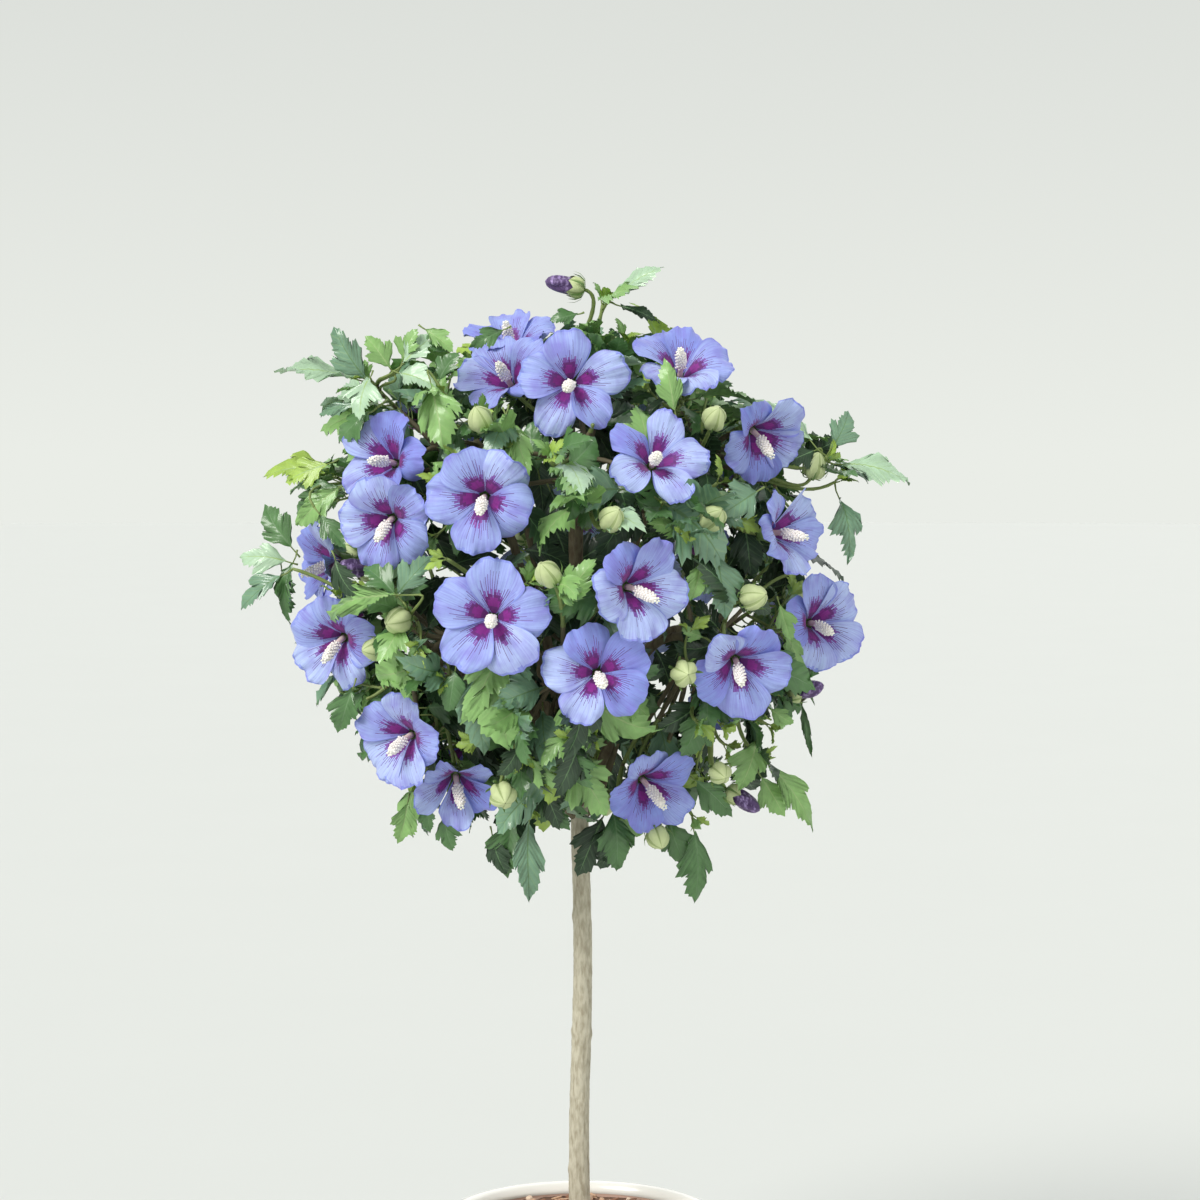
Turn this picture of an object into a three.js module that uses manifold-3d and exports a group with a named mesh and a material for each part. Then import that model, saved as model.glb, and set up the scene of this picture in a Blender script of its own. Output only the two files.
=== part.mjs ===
// A rose of sharon (Hibiscus syriacus) grown as a small standard: one clear stem with a round,
// loose, flowering crown, in a glazed pot. Millimetres, +Z up. The origin is the centre of the
// pot's flat underside, and the side with the most open flowers faces -Y.
//
// The crown is shared out between masses. Each mass has a bough, a stem that goes on from the
// bough's tip, and twigs that leave the stem for a flower, a bud or a leafy shoot.

import * as THREE from "three";
import { mergeVertices } from "three/addons/utils/BufferGeometryUtils.js";
import Module from "manifold-3d";

const wasm = await Module();
wasm.setup();

// ---- Driving dimensions ----

// Between pieces that meet
const GAP = 0.3;
// Edges shorter than this are taken out of the fused foliage
const SLIVER = 0.1;

// Pot and what it holds
const POT_HEIGHT = 194;
const POT_RIM_RADIUS = 112;
const POT_BASE_RADIUS = 80;
const POT_WALL = 7;
const POT_FLOOR = 10;
const POT_FOOT_ROUNDING = 4;
const LIP_RADIUS = 7;
const LIP_OVERHANG = 6;
const LIP_STEPS = 6;
const POT_SEGMENTS = 32;
const SOIL_TOP = 185;

// Trunk: its axis sways gently in a wave along its height
const TRUNK_TOP = 575;
const TRUNK_RADIUS_LOW = 8.1;
const TRUNK_RADIUS_HIGH = 6.6;
const ROOT_FLARE = 3;
const ROOT_FLARE_HEIGHT = 13;
const TRUNK_SWAY = 1.5;
const TRUNK_SWAY_LENGTH = 300;
const TRUNK_SWAY_START = 322;
const TRUNK_SIDES = 12;
const TRUNK_STEPS = 13;
const TRUNK_STEP_CROWDING = 1.6;

// Boughs, stems and twigs. A limb's curve holds to the way it leaves and comes in over this share
// of its span.
const CURVE_HANDLE = 0.33;
const BOUGH_BASE_RADIUS = 4.4;
const BOUGH_TIP_RADIUS = 3.2;
const BOUGH_SIDES = 6;
const BOUGH_STEPS = 5;
const BOUGH_SPREAD = 0.6;
const BOUGH_STRAIGHTNESS = 0.8;
const STEM_TIP_RADIUS = 2.6;
const STEM_SIDES = 4;
const STEM_STEPS = 2;
const FIRST_TWIG = 0.15;
const TWIG_BASE_RADIUS = 1.85;
const TWIG_TIP_RADIUS = 1.5;
const TWIG_SIDES = 3;
const TWIG_STEPS = 2;
const TWIG_TURN = 0.5;

// Crown
const CROWN_CENTRE = new THREE.Vector3(-7, 0, 699);
const CROWN_RADIUS = 213;
const CORE_RADIUS = 95;
const STEM_REACH = 0.74;

// Rings of masses: where they face, how far out their boughs reach as a share of the crown's
// radius, and the heights at which the boughs leave the trunk
const CROWN_RINGS = [
  { name: "top", count: 1, elevation: 90, azimuth: 0, reach: 0.38, foot: 569, rise: 0 },
  { name: "upper", count: 5, elevation: 42, azimuth: -66, reach: 0.42, foot: 535, rise: 5 },
  { name: "lower", count: 6, elevation: -26, azimuth: -62, reach: 0.48, foot: 508, rise: 5 },
];

// Leaves: a twig has a row of nodes, of which these solids keep every third, larger than life
const LEAF_NODES = 12;
const LEAF_STRIDE = 3;
const LEAF_GROWTH = 1.25;
const LEAF_SHORTEST = 46;
const LEAF_LONGEST = 68;
const LEAF_HALF_WIDTH = 0.31;
const LEAF_WIDEST = 0.5;
const LEAF_ARCH = 0.05;
const LEAF_TIP_DROOP = 0.1;
const LEAF_KEEL = 0.035;
const LEAF_ROOT = 0.6;
const LEAF_TRIES = [1, 0.95, 0.9, 0.8, 0.7];
const TRY_TURN = 75;
const LEAF_ROOM = 8;
const LEAF_REACH = 224;
const FREE_LEAF_REACH = 246;
const FIRST_NODE = 0.3;
const LAST_NODE_UNDER_BLOOM = 0.8;
const DIVERGENCE = 137.508;
// How much a leaf leans aside, along its twig, out of the crown and down
const LEAF_ASIDE = 0.9;
const LEAF_ALONG_LOW = 0.35;
const LEAF_ALONG_HIGH = 0.8;
const LEAF_OUTWARD = 0.45;
const LEAF_DROOP = 0.35;

// Flowers and buds
const BLOOM_RADIUS = 41;
const BLOOM_NOTCH_RADIUS = 33;
const BLOOM_THROAT = 13;
const BLOOM_DEPTH = 28;
const BLOOM_FOOT = 21;
const PETALS = 5;
const PETAL_SHOULDER = 17;
const NOTCH_DEPTH = 3;
const COLUMN_TIP = 19;
const COLUMN_RADIUS = 3.6;
const CALYX_RADIUS = 4;
const BUD_RADIUS = 10.5;
const BUD_LENGTH = 23;
const BUD_SUNK = 0.12;
const BUD_WIDEST = 0.4;

// How the rest of the crown is filled
const SPREAD_BLOOMS = 46;
const BLOOM_REACH = 190;
const BLOOM_SPACING = 25;
const BLOOM_LIFT = 0.15;
const LOWEST_BLOOM = -62;
const BACK_FROM = 0.25;
const SPREAD_SHOOTS = 135;
const SHOOT_REACH_LEAST = 0.76;
const SHOOT_REACH_MOST = 0.9;
const SHOOT_LIFT = 0.25;
const SHOOT_SPACING = 11.5;
const SHOOT_FROM_TRUNK = 24;
const BUD_SHARE = 0.25;
const SHOOT_SEEDS_FROM = 1000;

// Room kept round what a leaf or a twig must not meet
const SPACE_MARGIN = 1.2;
const LIMB_MARGIN = 5;
const TWIG_MARGIN = 2.4;
const BLOOM_MARGIN = 3;
const BLOOM_BACK_ROOM = 9;

// Flowers of the open side: centre x, y, z, then the way they face, azimuth from -Y and elevation,
// and how far their first petal is turned from upright
const FRONT_BLOOMS = [
  [-59, -60, 856, -30, 39, 22],
  [-6, -125, 846, 0, 2, 20],
  [78, -62, 865, 13, 49, 4],
  [56, -150, 793, 12, 27, 5],
  [-147, -92, 791, -28, 15, 45],
  [-144, -126, 743, -18, -10, 19],
  [-71, -165, 761, -7, -6, 38],
  [-64, -178, 677, -6, 6, 4],
  [44, -180, 698, 34, 0, 5],
  [13, -176, 635, 0, 0, 33],
  [119, -132, 636, 14, -20, 10],
  [186, -42, 665, 32, 5, -22],
  [157, -86, 737, 54, 9, 0],
  [139, -70, 804, 32, -25, 15],
  [-188, -64, 650, -25, -12, 50],
  [-136, -90, 580, -30, -6, 45],
  [-93, -78, 541, 6, -28, 0],
  [54, -88, 542, 25, -19, -5],
  [-205, 10, 708, -125, -4, 0],
];

// Flowers that others half hide, in the same terms
const HIDDEN_BLOOMS = [[-56, -12, 885, -22, 62, 10]];

// Shoots of the open side that end in a bud: x, y, z of the bud's foot, then the way it points,
// azimuth from -Y and elevation
const BUD_SHOOTS = [
  [98, -100, 815, 20, 40],
  [20, -176, 744, 30, 30],
  [-19, -186, 703, -30, 40],
  [-128, -136, 674, -35, -10],
  [75, -150, 635, 10, 0],
  [-58, -124, 546, 10, -20],
  [102, -100, 557, 20, -10],
  [57, -72, 509, 20, -40],
  [158, -76, 613, 65, 15],
  [112, -62, 538, 72, -30],
  [2, -22, 920, -90, 12],
  [177, -34, 777, 30, 60],
];

// Shoots that stand out of the ball: x, y, z of the shoot's end, then of its longest leaf's tip
const FREE_SHOOTS = [
  [17, -25, 908, 61, -35, 939],
  [188, -30, 788, 253, -40, 777],
  [196, -20, 772, 212, -40, 712],
  [-159, -40, 849, -231, -50, 861],
  [-186, -30, 775, -237, -40, 791],
  [-220, -42, 706, -264, -45, 680],
  [-37, -88, 532, -44, -95, 457],
  [30, -42, 524, 18, -52, 476],
  [85, -60, 519, 94, -70, 454],
  [133, -70, 568, 176, -80, 517],
  [-124, -25, 546, -141, -25, 499],
];

// ---- Finishes ----

const finishes = {
  glaze: { color: 0xefece4, roughness: 0.35, metalness: 0 },
  soil: { color: 0x6e4a38, roughness: 0.95, metalness: 0 },
  bark: { color: 0xa79f86, roughness: 0.85, metalness: 0 },
  foliage: { color: 0x4f7f42, roughness: 0.6, metalness: 0 },
};

function named(name, geometry, finish) {
  const mesh = new THREE.Mesh(geometry, new THREE.MeshStandardMaterial(finishes[finish]));
  mesh.name = name;
  return mesh;
}

// ---- Small tools ----

const UP = new THREE.Vector3(0, 0, 1);
const SKEW = new THREE.Vector3(0.31, 0.95, 0.02);

function vector(x, y, z) {
  return new THREE.Vector3(x, y, z);
}

function mix(low, high, share) {
  return low + (high - low) * share;
}

function repeat(count, make) {
  return Array.from({ length: count }, (_, index) => make(index));
}

function direction(azimuth, elevation) {
  const turn = THREE.MathUtils.degToRad(azimuth);
  const rise = THREE.MathUtils.degToRad(elevation);
  return vector(Math.sin(turn) * Math.cos(rise), -Math.cos(turn) * Math.cos(rise), Math.sin(rise));
}

// Directions spread evenly all round, from the top down
function evenDirections(count) {
  return repeat(count, (index) => {
    const height = 1 - (2 * index + 1) / count;
    return direction(index * DIVERGENCE, THREE.MathUtils.radToDeg(Math.asin(height)));
  });
}

// A sum of vectors, each with its weight, at length 1
function blend(...weighted) {
  const sum = vector(0, 0, 0);
  weighted.forEach(([part, weight]) => sum.addScaledVector(part, weight));
  return sum.normalize();
}

// The part of a vector that lies across an axis, at length 1
function across(axis, candidate) {
  return blend([candidate, 1], [axis, -candidate.dot(axis)]);
}

// Park-Miller draws between 0 and 1, with a row of its own for each seed
function seededRandom(seed) {
  let state = (seed * 7919 + 12345) % 2147483647;
  const draw = () => {
    state = (state * 48271) % 2147483647;
    return state / 2147483647;
  };
  draw();
  draw();
  return draw;
}

// A curve that leaves one point along a heading and comes in to another along its own
function arc(start, leaving, end, arriving) {
  const span = start.distanceTo(end);
  const first = start.clone().addScaledVector(leaving, CURVE_HANDLE * span);
  const second = end.clone().addScaledVector(arriving, -CURVE_HANDLE * span);
  return new THREE.CubicBezierCurve3(start, first, second, end);
}

// ---- Closed shapes ----

// A closed skin over rings of points. A ring of one point is a tip, and a ring may have several
// times fewer points than the next.
function loft(rings) {
  const faces = [];
  let first = 0;
  for (let index = 0; index + 1 < rings.length; index += 1) {
    const here = rings[index].length;
    const ahead = rings[index + 1].length;
    const steps = Math.max(here, ahead);
    for (let step = 0; step < steps; step += 1) {
      const a = first + Math.floor((step * here) / steps);
      const b = first + (Math.floor(((step + 1) * here) / steps) % here);
      const c = first + here + (Math.floor(((step + 1) * ahead) / steps) % ahead);
      const d = first + here + Math.floor((step * ahead) / steps);
      if (a !== b) faces.push(a, b, d);
      if (c !== d) faces.push(b, c, d);
    }
    first += here;
  }
  for (let step = 2; step < rings[0].length; step += 1) {
    faces.push(0, step, step - 1);
  }
  for (let step = 2; step < rings.at(-1).length; step += 1) {
    faces.push(first, first + step - 1, first + step);
  }
  const geometry = new THREE.BufferGeometry().setFromPoints(rings.flat());
  geometry.setIndex(faces);
  return geometry;
}

// Points at an equal distance from a centre, counted round its axis
function ringAround(centre, side, other, radius, count) {
  return repeat(count, (step) => {
    const angle = (2 * Math.PI * step) / count;
    const spoke = blend([side, Math.cos(angle)], [other, Math.sin(angle)]);
    return centre.clone().addScaledVector(spoke, radius);
  });
}

// A tapering limb along a curve
function limb(curve, steps, baseRadius, tipRadius, sides) {
  let side = SKEW;
  const rings = repeat(steps + 1, (step) => {
    const share = step / steps;
    const along = curve.getTangent(share);
    side = across(along, side);
    const other = along.clone().cross(side);
    return ringAround(curve.getPoint(share), side, other, mix(baseRadius, tipRadius, share), sides);
  });
  return loft(rings);
}

function solid(geometry) {
  const bare = geometry.clone();
  bare.deleteAttribute("normal");
  bare.deleteAttribute("uv");
  const merged = mergeVertices(bare, 1e-4);
  const vertProperties = new Float32Array(merged.attributes.position.array);
  const triVerts = new Uint32Array(merged.index.array);
  return new wasm.Manifold(new wasm.Mesh({ numProp: 3, vertProperties, triVerts }));
}

// The largest body of a solid, which leaves out loose scraps and fills sealed hollows
function largestBody(joined) {
  const body = joined.decompose().reduce((a, b) => (b.volume() > a.volume() ? b : a));
  const { vertProperties, triVerts } = body.getMesh();
  const geometry = new THREE.BufferGeometry();
  geometry.setAttribute("position", new THREE.BufferAttribute(vertProperties, 3));
  geometry.setIndex(new THREE.BufferAttribute(triVerts, 1));
  geometry.computeVertexNormals();
  return geometry;
}

// ---- Pot and soil ----

function potWallRadius(height) {
  return mix(POT_BASE_RADIUS, POT_RIM_RADIUS - LIP_OVERHANG, height / POT_HEIGHT);
}

function lathe(profile) {
  const points = profile.map(([radius, height]) => new THREE.Vector2(radius, height));
  return new THREE.LatheGeometry(points, POT_SEGMENTS).rotateX(Math.PI / 2);
}

function makePot() {
  const lipMiddle = POT_RIM_RADIUS - LIP_RADIUS;
  const lipCentre = POT_HEIGHT - LIP_RADIUS;
  const lipFoot = lipCentre - LIP_RADIUS;
  const lip = repeat(LIP_STEPS + 1, (step) => {
    const angle = (Math.PI * step) / LIP_STEPS;
    return [lipMiddle + LIP_RADIUS * Math.cos(angle), lipCentre + LIP_RADIUS * Math.sin(angle)];
  });
  return lathe([
    [0, 0],
    [POT_BASE_RADIUS - POT_FOOT_ROUNDING, 0],
    [potWallRadius(POT_FOOT_ROUNDING), POT_FOOT_ROUNDING],
    [potWallRadius(lipFoot), lipFoot],
    ...lip,
    [potWallRadius(lipFoot) - POT_WALL, lipFoot],
    [potWallRadius(POT_FLOOR) - POT_WALL, POT_FLOOR],
    [0, POT_FLOOR],
  ]);
}

function makeSoil() {
  const lipFoot = POT_HEIGHT - 2 * LIP_RADIUS;
  const inside = (height) => potWallRadius(height) - POT_WALL - 2 * GAP;
  return lathe([
    [0, POT_FLOOR + GAP],
    [inside(POT_FLOOR), POT_FLOOR + GAP],
    [inside(lipFoot) - GAP, lipFoot],
    [inside(lipFoot) - GAP, SOIL_TOP],
    [0, SOIL_TOP],
  ]);
}

// ---- Trunk and boughs ----

function trunkAxis(height) {
  const phase = (2 * Math.PI * (height - TRUNK_SWAY_START)) / TRUNK_SWAY_LENGTH;
  return vector(TRUNK_SWAY * Math.sin(phase), TRUNK_SWAY * Math.cos(phase), height);
}

function trunkRadius(height) {
  const risen = height - SOIL_TOP;
  const taper = mix(TRUNK_RADIUS_LOW, TRUNK_RADIUS_HIGH, risen / (TRUNK_TOP - SOIL_TOP));
  return taper + ROOT_FLARE * Math.exp(-risen / ROOT_FLARE_HEIGHT);
}

// The rings crowd together where the roots flare. A trunk grown by the gap, larger all over, is
// what the boughs are cut with.
function makeTrunk(growth = 0) {
  const foot = SOIL_TOP + GAP - growth;
  const rings = repeat(TRUNK_STEPS + 1, (step) => {
    const share = (step / TRUNK_STEPS) ** TRUNK_STEP_CROWDING;
    const height = mix(foot, TRUNK_TOP + growth, share);
    const radius = trunkRadius(height) + growth;
    return ringAround(trunkAxis(height), vector(1, 0, 0), vector(0, 1, 0), radius, TRUNK_SIDES);
  });
  return loft(rings);
}

function makeMasses() {
  return CROWN_RINGS.flatMap((ring) =>
    repeat(ring.count, (index) => {
      const facing = direction(ring.azimuth + (360 / ring.count) * index, ring.elevation);
      const foot = trunkAxis(ring.foot + ring.rise * ((2 * index) % ring.count));
      const tip = CROWN_CENTRE.clone().addScaledVector(facing, ring.reach * CROWN_RADIUS);
      const chord = tip.clone().sub(foot).normalize();
      const leaving = blend([chord, 1], [vector(facing.x, facing.y, 0), BOUGH_SPREAD]);
      const heading = blend([facing, 1], [chord, BOUGH_STRAIGHTNESS]);
      const stemFoot = tip.clone().addScaledVector(heading, GAP);
      const stemTip = CROWN_CENTRE.clone().addScaledVector(facing, STEM_REACH * CROWN_RADIUS);
      return {
        name: ring.count > 1 ? `${ring.name}_${index + 1}` : ring.name,
        facing,
        reach: ring.reach,
        bough: arc(foot, leaving, tip, heading),
        stem: arc(stemFoot, heading, stemTip, facing),
      };
    }),
  );
}

function makeBough(mass) {
  const whole = limb(mass.bough, BOUGH_STEPS, BOUGH_BASE_RADIUS, BOUGH_TIP_RADIUS, BOUGH_SIDES);
  return largestBody(solid(whole).subtract(solid(makeTrunk(GAP))));
}

// ---- What the twigs of the crown lead to ----

function fromCentre(point) {
  return point.clone().sub(CROWN_CENTRE).normalize();
}

function bloomTarget(centre, heading, turn = 0) {
  const end = centre.clone().addScaledVector(heading, -BLOOM_FOOT);
  return { kind: "bloom", facing: fromCentre(end), centre, heading, turn, end };
}

function shootTarget(end, kind, heading) {
  const facing = fromCentre(end);
  return { kind, facing, heading: heading ?? blend([facing, 1], [UP, SHOOT_LIFT]), end };
}

function makeTargets() {
  const listed = ([x, y, z, azimuth, elevation, turn]) =>
    bloomTarget(vector(x, y, z), direction(azimuth, elevation), turn);
  const targets = [
    ...FRONT_BLOOMS.map(listed),
    ...BUD_SHOOTS.map(([x, y, z, azimuth, elevation]) =>
      shootTarget(vector(x, y, z), "bud", direction(azimuth, elevation)),
    ),
    ...FREE_SHOOTS.map(([x, y, z, tipX, tipY, tipZ]) => ({
      ...shootTarget(vector(x, y, z), "shoot"),
      longLeafTip: vector(tipX, tipY, tipZ),
    })),
  ];
  const lowest = Math.sin(THREE.MathUtils.degToRad(LOWEST_BLOOM));
  const apart = (facing, least) =>
    targets.every((target) => target.facing.angleTo(facing) > THREE.MathUtils.degToRad(least));

  for (const facing of evenDirections(SPREAD_BLOOMS)) {
    if (facing.y > BACK_FROM && facing.z > lowest && apart(facing, BLOOM_SPACING)) {
      const centre = CROWN_CENTRE.clone().addScaledVector(facing, BLOOM_REACH);
      targets.push(bloomTarget(centre, blend([facing, 1], [UP, BLOOM_LIFT])));
    }
  }
  evenDirections(SPREAD_SHOOTS).forEach((facing, index) => {
    const random = seededRandom(SHOOT_SEEDS_FROM + index);
    const reach = CROWN_RADIUS * mix(SHOOT_REACH_LEAST, SHOOT_REACH_MOST, random());
    const kind = random() < BUD_SHARE ? "bud" : "shoot";
    const end = CROWN_CENTRE.clone().addScaledVector(facing, reach);
    if (Math.hypot(end.x, end.y) > SHOOT_FROM_TRUNK && apart(facing, SHOOT_SPACING)) {
      targets.push(shootTarget(end, kind));
    }
  });
  targets.push(...HIDDEN_BLOOMS.map(listed));
  return targets;
}

// ---- Room in the crown ----

const masses = makeMasses();
const targets = makeTargets();

function owner(facing) {
  return masses.reduce((best, mass) => (mass.facing.dot(facing) > best.facing.dot(facing) ? mass : best));
}

function inSpace(point, own) {
  const spoke = point.clone().sub(CROWN_CENTRE);
  return masses.every((other) => {
    const lead = spoke.dot(own.facing) - spoke.dot(other.facing);
    return other === own || lead > SPACE_MARGIN * own.facing.distanceTo(other.facing);
  });
}

// Straight pieces of the trunk and the boughs, each with its radius
const limbPieces = [
  ...repeat(TRUNK_STEPS, (step) => {
    const rise = (TRUNK_TOP - SOIL_TOP) / TRUNK_STEPS;
    const foot = SOIL_TOP + step * rise;
    const line = new THREE.Line3(trunkAxis(foot), trunkAxis(foot + rise));
    return { line, radius: trunkRadius(foot) };
  }),
  ...masses.flatMap(({ bough }) => {
    const points = bough.getPoints(BOUGH_STEPS);
    return points.slice(1).map((point, step) => {
      const radius = mix(BOUGH_BASE_RADIUS, BOUGH_TIP_RADIUS, step / BOUGH_STEPS);
      return { line: new THREE.Line3(points[step], point), radius };
    });
  }),
];

function clearOfLimbs(point, margin) {
  const nearest = new THREE.Vector3();
  return limbPieces.every(({ line, radius }) => {
    line.closestPointToPoint(point, true, nearest);
    return nearest.distanceTo(point) > radius + margin;
  });
}

// A mass keeps out of the whole space of its neighbours' flowers, and its leaves keep out of the
// throat and the front of every flower
function clearOfBlooms(point, own, leaf) {
  return targets.every(({ kind, centre, heading, facing }) => {
    if (kind !== "bloom") return true;
    const spoke = point.clone().sub(centre);
    const distance = spoke.length();
    if (owner(facing) !== own && distance < BLOOM_RADIUS + BLOOM_MARGIN) return false;
    const ahead = spoke.dot(heading);
    const aside = Math.sqrt(distance * distance - ahead * ahead);
    const near = ahead > -BLOOM_BACK_ROOM && ahead < BLOOM_RADIUS;
    return !(leaf && near && aside < BLOOM_RADIUS + BLOOM_MARGIN);
  });
}

// ---- Foliage ----

// A point on the straight pieces that a twig is made of
function onTwig(curve, share) {
  const place = share * TWIG_STEPS;
  const step = Math.min(Math.floor(place), TWIG_STEPS - 1);
  return curve.getPoint(step / TWIG_STEPS).lerp(curve.getPoint((step + 1) / TWIG_STEPS), place - step);
}

// Under a flower the leaves spread aside, and on a leafy shoot they reach outward
function leafAt({ kind }, curve, share, turn, [droop, tilt, size]) {
  const root = onTwig(curve, share);
  const along = curve.getTangent(share);
  const side = across(along, SKEW);
  const outward = fromCentre(root);
  const angle = THREE.MathUtils.degToRad(turn);
  const leafy = kind === "bloom" ? 0 : 1;
  const axis = blend(
    [along, leafy * mix(LEAF_ALONG_LOW, LEAF_ALONG_HIGH, share)],
    [side, LEAF_ASIDE * Math.cos(angle)],
    [along.clone().cross(side), LEAF_ASIDE * Math.sin(angle)],
    [outward, leafy * LEAF_OUTWARD],
    [UP, -LEAF_DROOP * droop],
  );
  const normal = across(axis, blend([outward, 0.7], [UP, 0.7], [side, tilt - 0.5]));
  return { root, axis, normal, length: LEAF_GROWTH * mix(LEAF_SHORTEST, LEAF_LONGEST, size) };
}

function leafLeadingTo(tip, { end, facing }) {
  const reach = tip.clone().sub(end);
  const axis = reach.clone().normalize();
  return { root: end, axis, normal: across(axis, blend([facing, 1], [UP, 0.8])), length: reach.length() };
}

// Three corners of a leaf's section: its two edges, and its rib underneath
function leafSection({ root, axis, normal, length }, share, halfWidth, keel, lift) {
  const side = normal.clone().cross(axis);
  const middle = root.clone().addScaledVector(axis, share * length).addScaledVector(normal, lift * length);
  return [
    middle.clone().addScaledVector(side, halfWidth),
    middle.clone().addScaledVector(side, -halfWidth),
    middle.clone().addScaledVector(normal, -keel),
  ];
}

function leafRings(leaf) {
  const { length } = leaf;
  const tip = leafSection(leaf, 1, 0, 0, -LEAF_TIP_DROOP)[0];
  return [
    leafSection(leaf, 0, LEAF_ROOT, LEAF_ROOT, 0),
    leafSection(leaf, LEAF_WIDEST, LEAF_HALF_WIDTH * length, LEAF_KEEL * length, LEAF_ARCH),
    [tip],
  ];
}

// Points spread over a leaf from a quarter of the way along: its rib, its edges and between
function leafPoints([root, [left, right, rib], [tip]]) {
  const between = (from, to, share) => from.clone().lerp(to, share);
  return [
    tip,
    left,
    right,
    rib,
    between(root[2], rib, 0.5),
    between(rib, tip, 0.5),
    ...[left, right].flatMap((edge) => [
      between(rib, edge, 0.5),
      between(root[2], edge, 0.6),
      between(tip, edge, 0.35),
      between(tip, edge, 0.7),
    ]),
  ];
}

function leafFits(points, own, taken, reach) {
  return points.every(
    (point) =>
      inSpace(point, own) &&
      point.distanceTo(CROWN_CENTRE) > CORE_RADIUS &&
      point.distanceTo(CROWN_CENTRE) < reach &&
      clearOfLimbs(point, LIMB_MARGIN) &&
      clearOfBlooms(point, own, true) &&
      taken.every((other) => other.distanceToSquared(point) > LEAF_ROOM ** 2),
  );
}

// A leaf that doesn't fit tries a smaller size, turned further round its twig, and else is
// skipped. Its points join those that are taken.
function leavesOf({ target, curve }, own, taken) {
  const random = seededRandom(targets.indexOf(target));
  const firstTurn = 360 * random();
  const lastNode = target.kind === "bloom" ? LAST_NODE_UNDER_BLOOM : 1;
  const reach = target.longLeafTip ? FREE_LEAF_REACH : LEAF_REACH;
  const leaves = [];
  if (target.longLeafTip) leaves.push(leafRings(leafLeadingTo(target.longLeafTip, target)));
  for (let node = 0; node < LEAF_NODES; node += 1) {
    const draws = [random(), random(), random()];
    if (node % LEAF_STRIDE !== LEAF_STRIDE - 1) continue;
    const share = mix(FIRST_NODE, lastNode, node / (LEAF_NODES - 1));
    const fitting = LEAF_TRIES.map((shrink, attempt) => {
      const turn = firstTurn + node * DIVERGENCE + attempt * TRY_TURN;
      const leaf = leafAt(target, curve, share, turn, draws);
      leaf.length *= shrink;
      return leafRings(leaf);
    }).find((rings) => leafFits(leafPoints(rings), own, taken, reach));
    if (fitting) {
      leaves.push(fitting);
      taken.push(...leafPoints(fitting));
    }
  }
  return leaves;
}

function twigFits(curve, own) {
  const points = curve.getPoints(10).slice(1);
  return points.every(
    (point) =>
      inSpace(point, own) && clearOfLimbs(point, TWIG_MARGIN) && clearOfBlooms(point, own, false),
  );
}

// A point of a flower, by its turn round the throat and its distances from it and ahead of it
function bloomPoint({ centre, heading }, turn, radius, ahead) {
  const side = across(heading, UP.clone().add(SKEW));
  const angle = THREE.MathUtils.degToRad(turn);
  return centre
    .clone()
    .addScaledVector(side, radius * Math.cos(angle))
    .addScaledVector(heading.clone().cross(side), radius * Math.sin(angle))
    .addScaledVector(heading, ahead);
}

// A flower from its calyx over its petals' rim to its throat, and out along the column
function bloomRings(target) {
  const place = (turn, radius, ahead) => bloomPoint(target, target.turn + turn, radius, ahead);
  const petalTurn = 360 / PETALS;
  const rim = repeat(PETALS, (petal) => [
    place(petal * petalTurn - PETAL_SHOULDER, BLOOM_RADIUS, 0),
    place(petal * petalTurn + PETAL_SHOULDER, BLOOM_RADIUS, 0),
    place((petal + 0.5) * petalTurn, BLOOM_NOTCH_RADIUS, -NOTCH_DEPTH),
  ]).flat();
  const triangle = (radius, ahead) => [0, 120, 240].map((turn) => place(turn, radius, ahead));
  return [
    triangle(CALYX_RADIUS, -BLOOM_DEPTH),
    rim,
    triangle(COLUMN_RADIUS, -BLOOM_THROAT),
    triangle(COLUMN_RADIUS, COLUMN_TIP - 2 * COLUMN_RADIUS),
    [place(0, 0, COLUMN_TIP)],
  ];
}

function budRings({ end, heading }) {
  const side = across(heading, SKEW);
  const other = heading.clone().cross(side);
  const at = (share) => end.clone().addScaledVector(heading, share * BUD_LENGTH);
  return [
    ringAround(at(-BUD_SUNK), side, other, CALYX_RADIUS, 3),
    ringAround(at(BUD_WIDEST), side, other, BUD_RADIUS, 6),
    [at(1)],
  ];
}

// The twigs leave their stem one above the other, those that lead furthest aside first
function twigsOf(mass) {
  const aside = (target) => mass.facing.angleTo(target.facing);
  const own = targets.filter((target) => owner(target.facing) === mass);
  own.sort((a, b) => aside(b) - aside(a));
  return own.map((target, rank) => {
    const share = mix(FIRST_TWIG, 1, rank / Math.max(own.length - 1, 1));
    const start = mass.stem.getPoint(share);
    const chord = target.end.clone().sub(start).normalize();
    const leaving = blend([mass.stem.getTangent(share), TWIG_TURN], [chord, 1]);
    return { target, curve: arc(start, leaving, target.end, target.heading) };
  });
}

// Points spread over a twig and the back of its flower
function twigPoints({ target, curve }) {
  const points = curve.getPoints(14);
  if (target.kind !== "bloom") return points;
  const back = [1, 0.7, 0.4].flatMap((share) =>
    repeat(Math.round(15 * share), (step) => {
      const turn = (24 * step) / share;
      return bloomPoint(target, turn, share * BLOOM_RADIUS, BLOOM_DEPTH * 0.7 * (share - 1));
    }),
  );
  return [...points, ...back];
}

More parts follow.
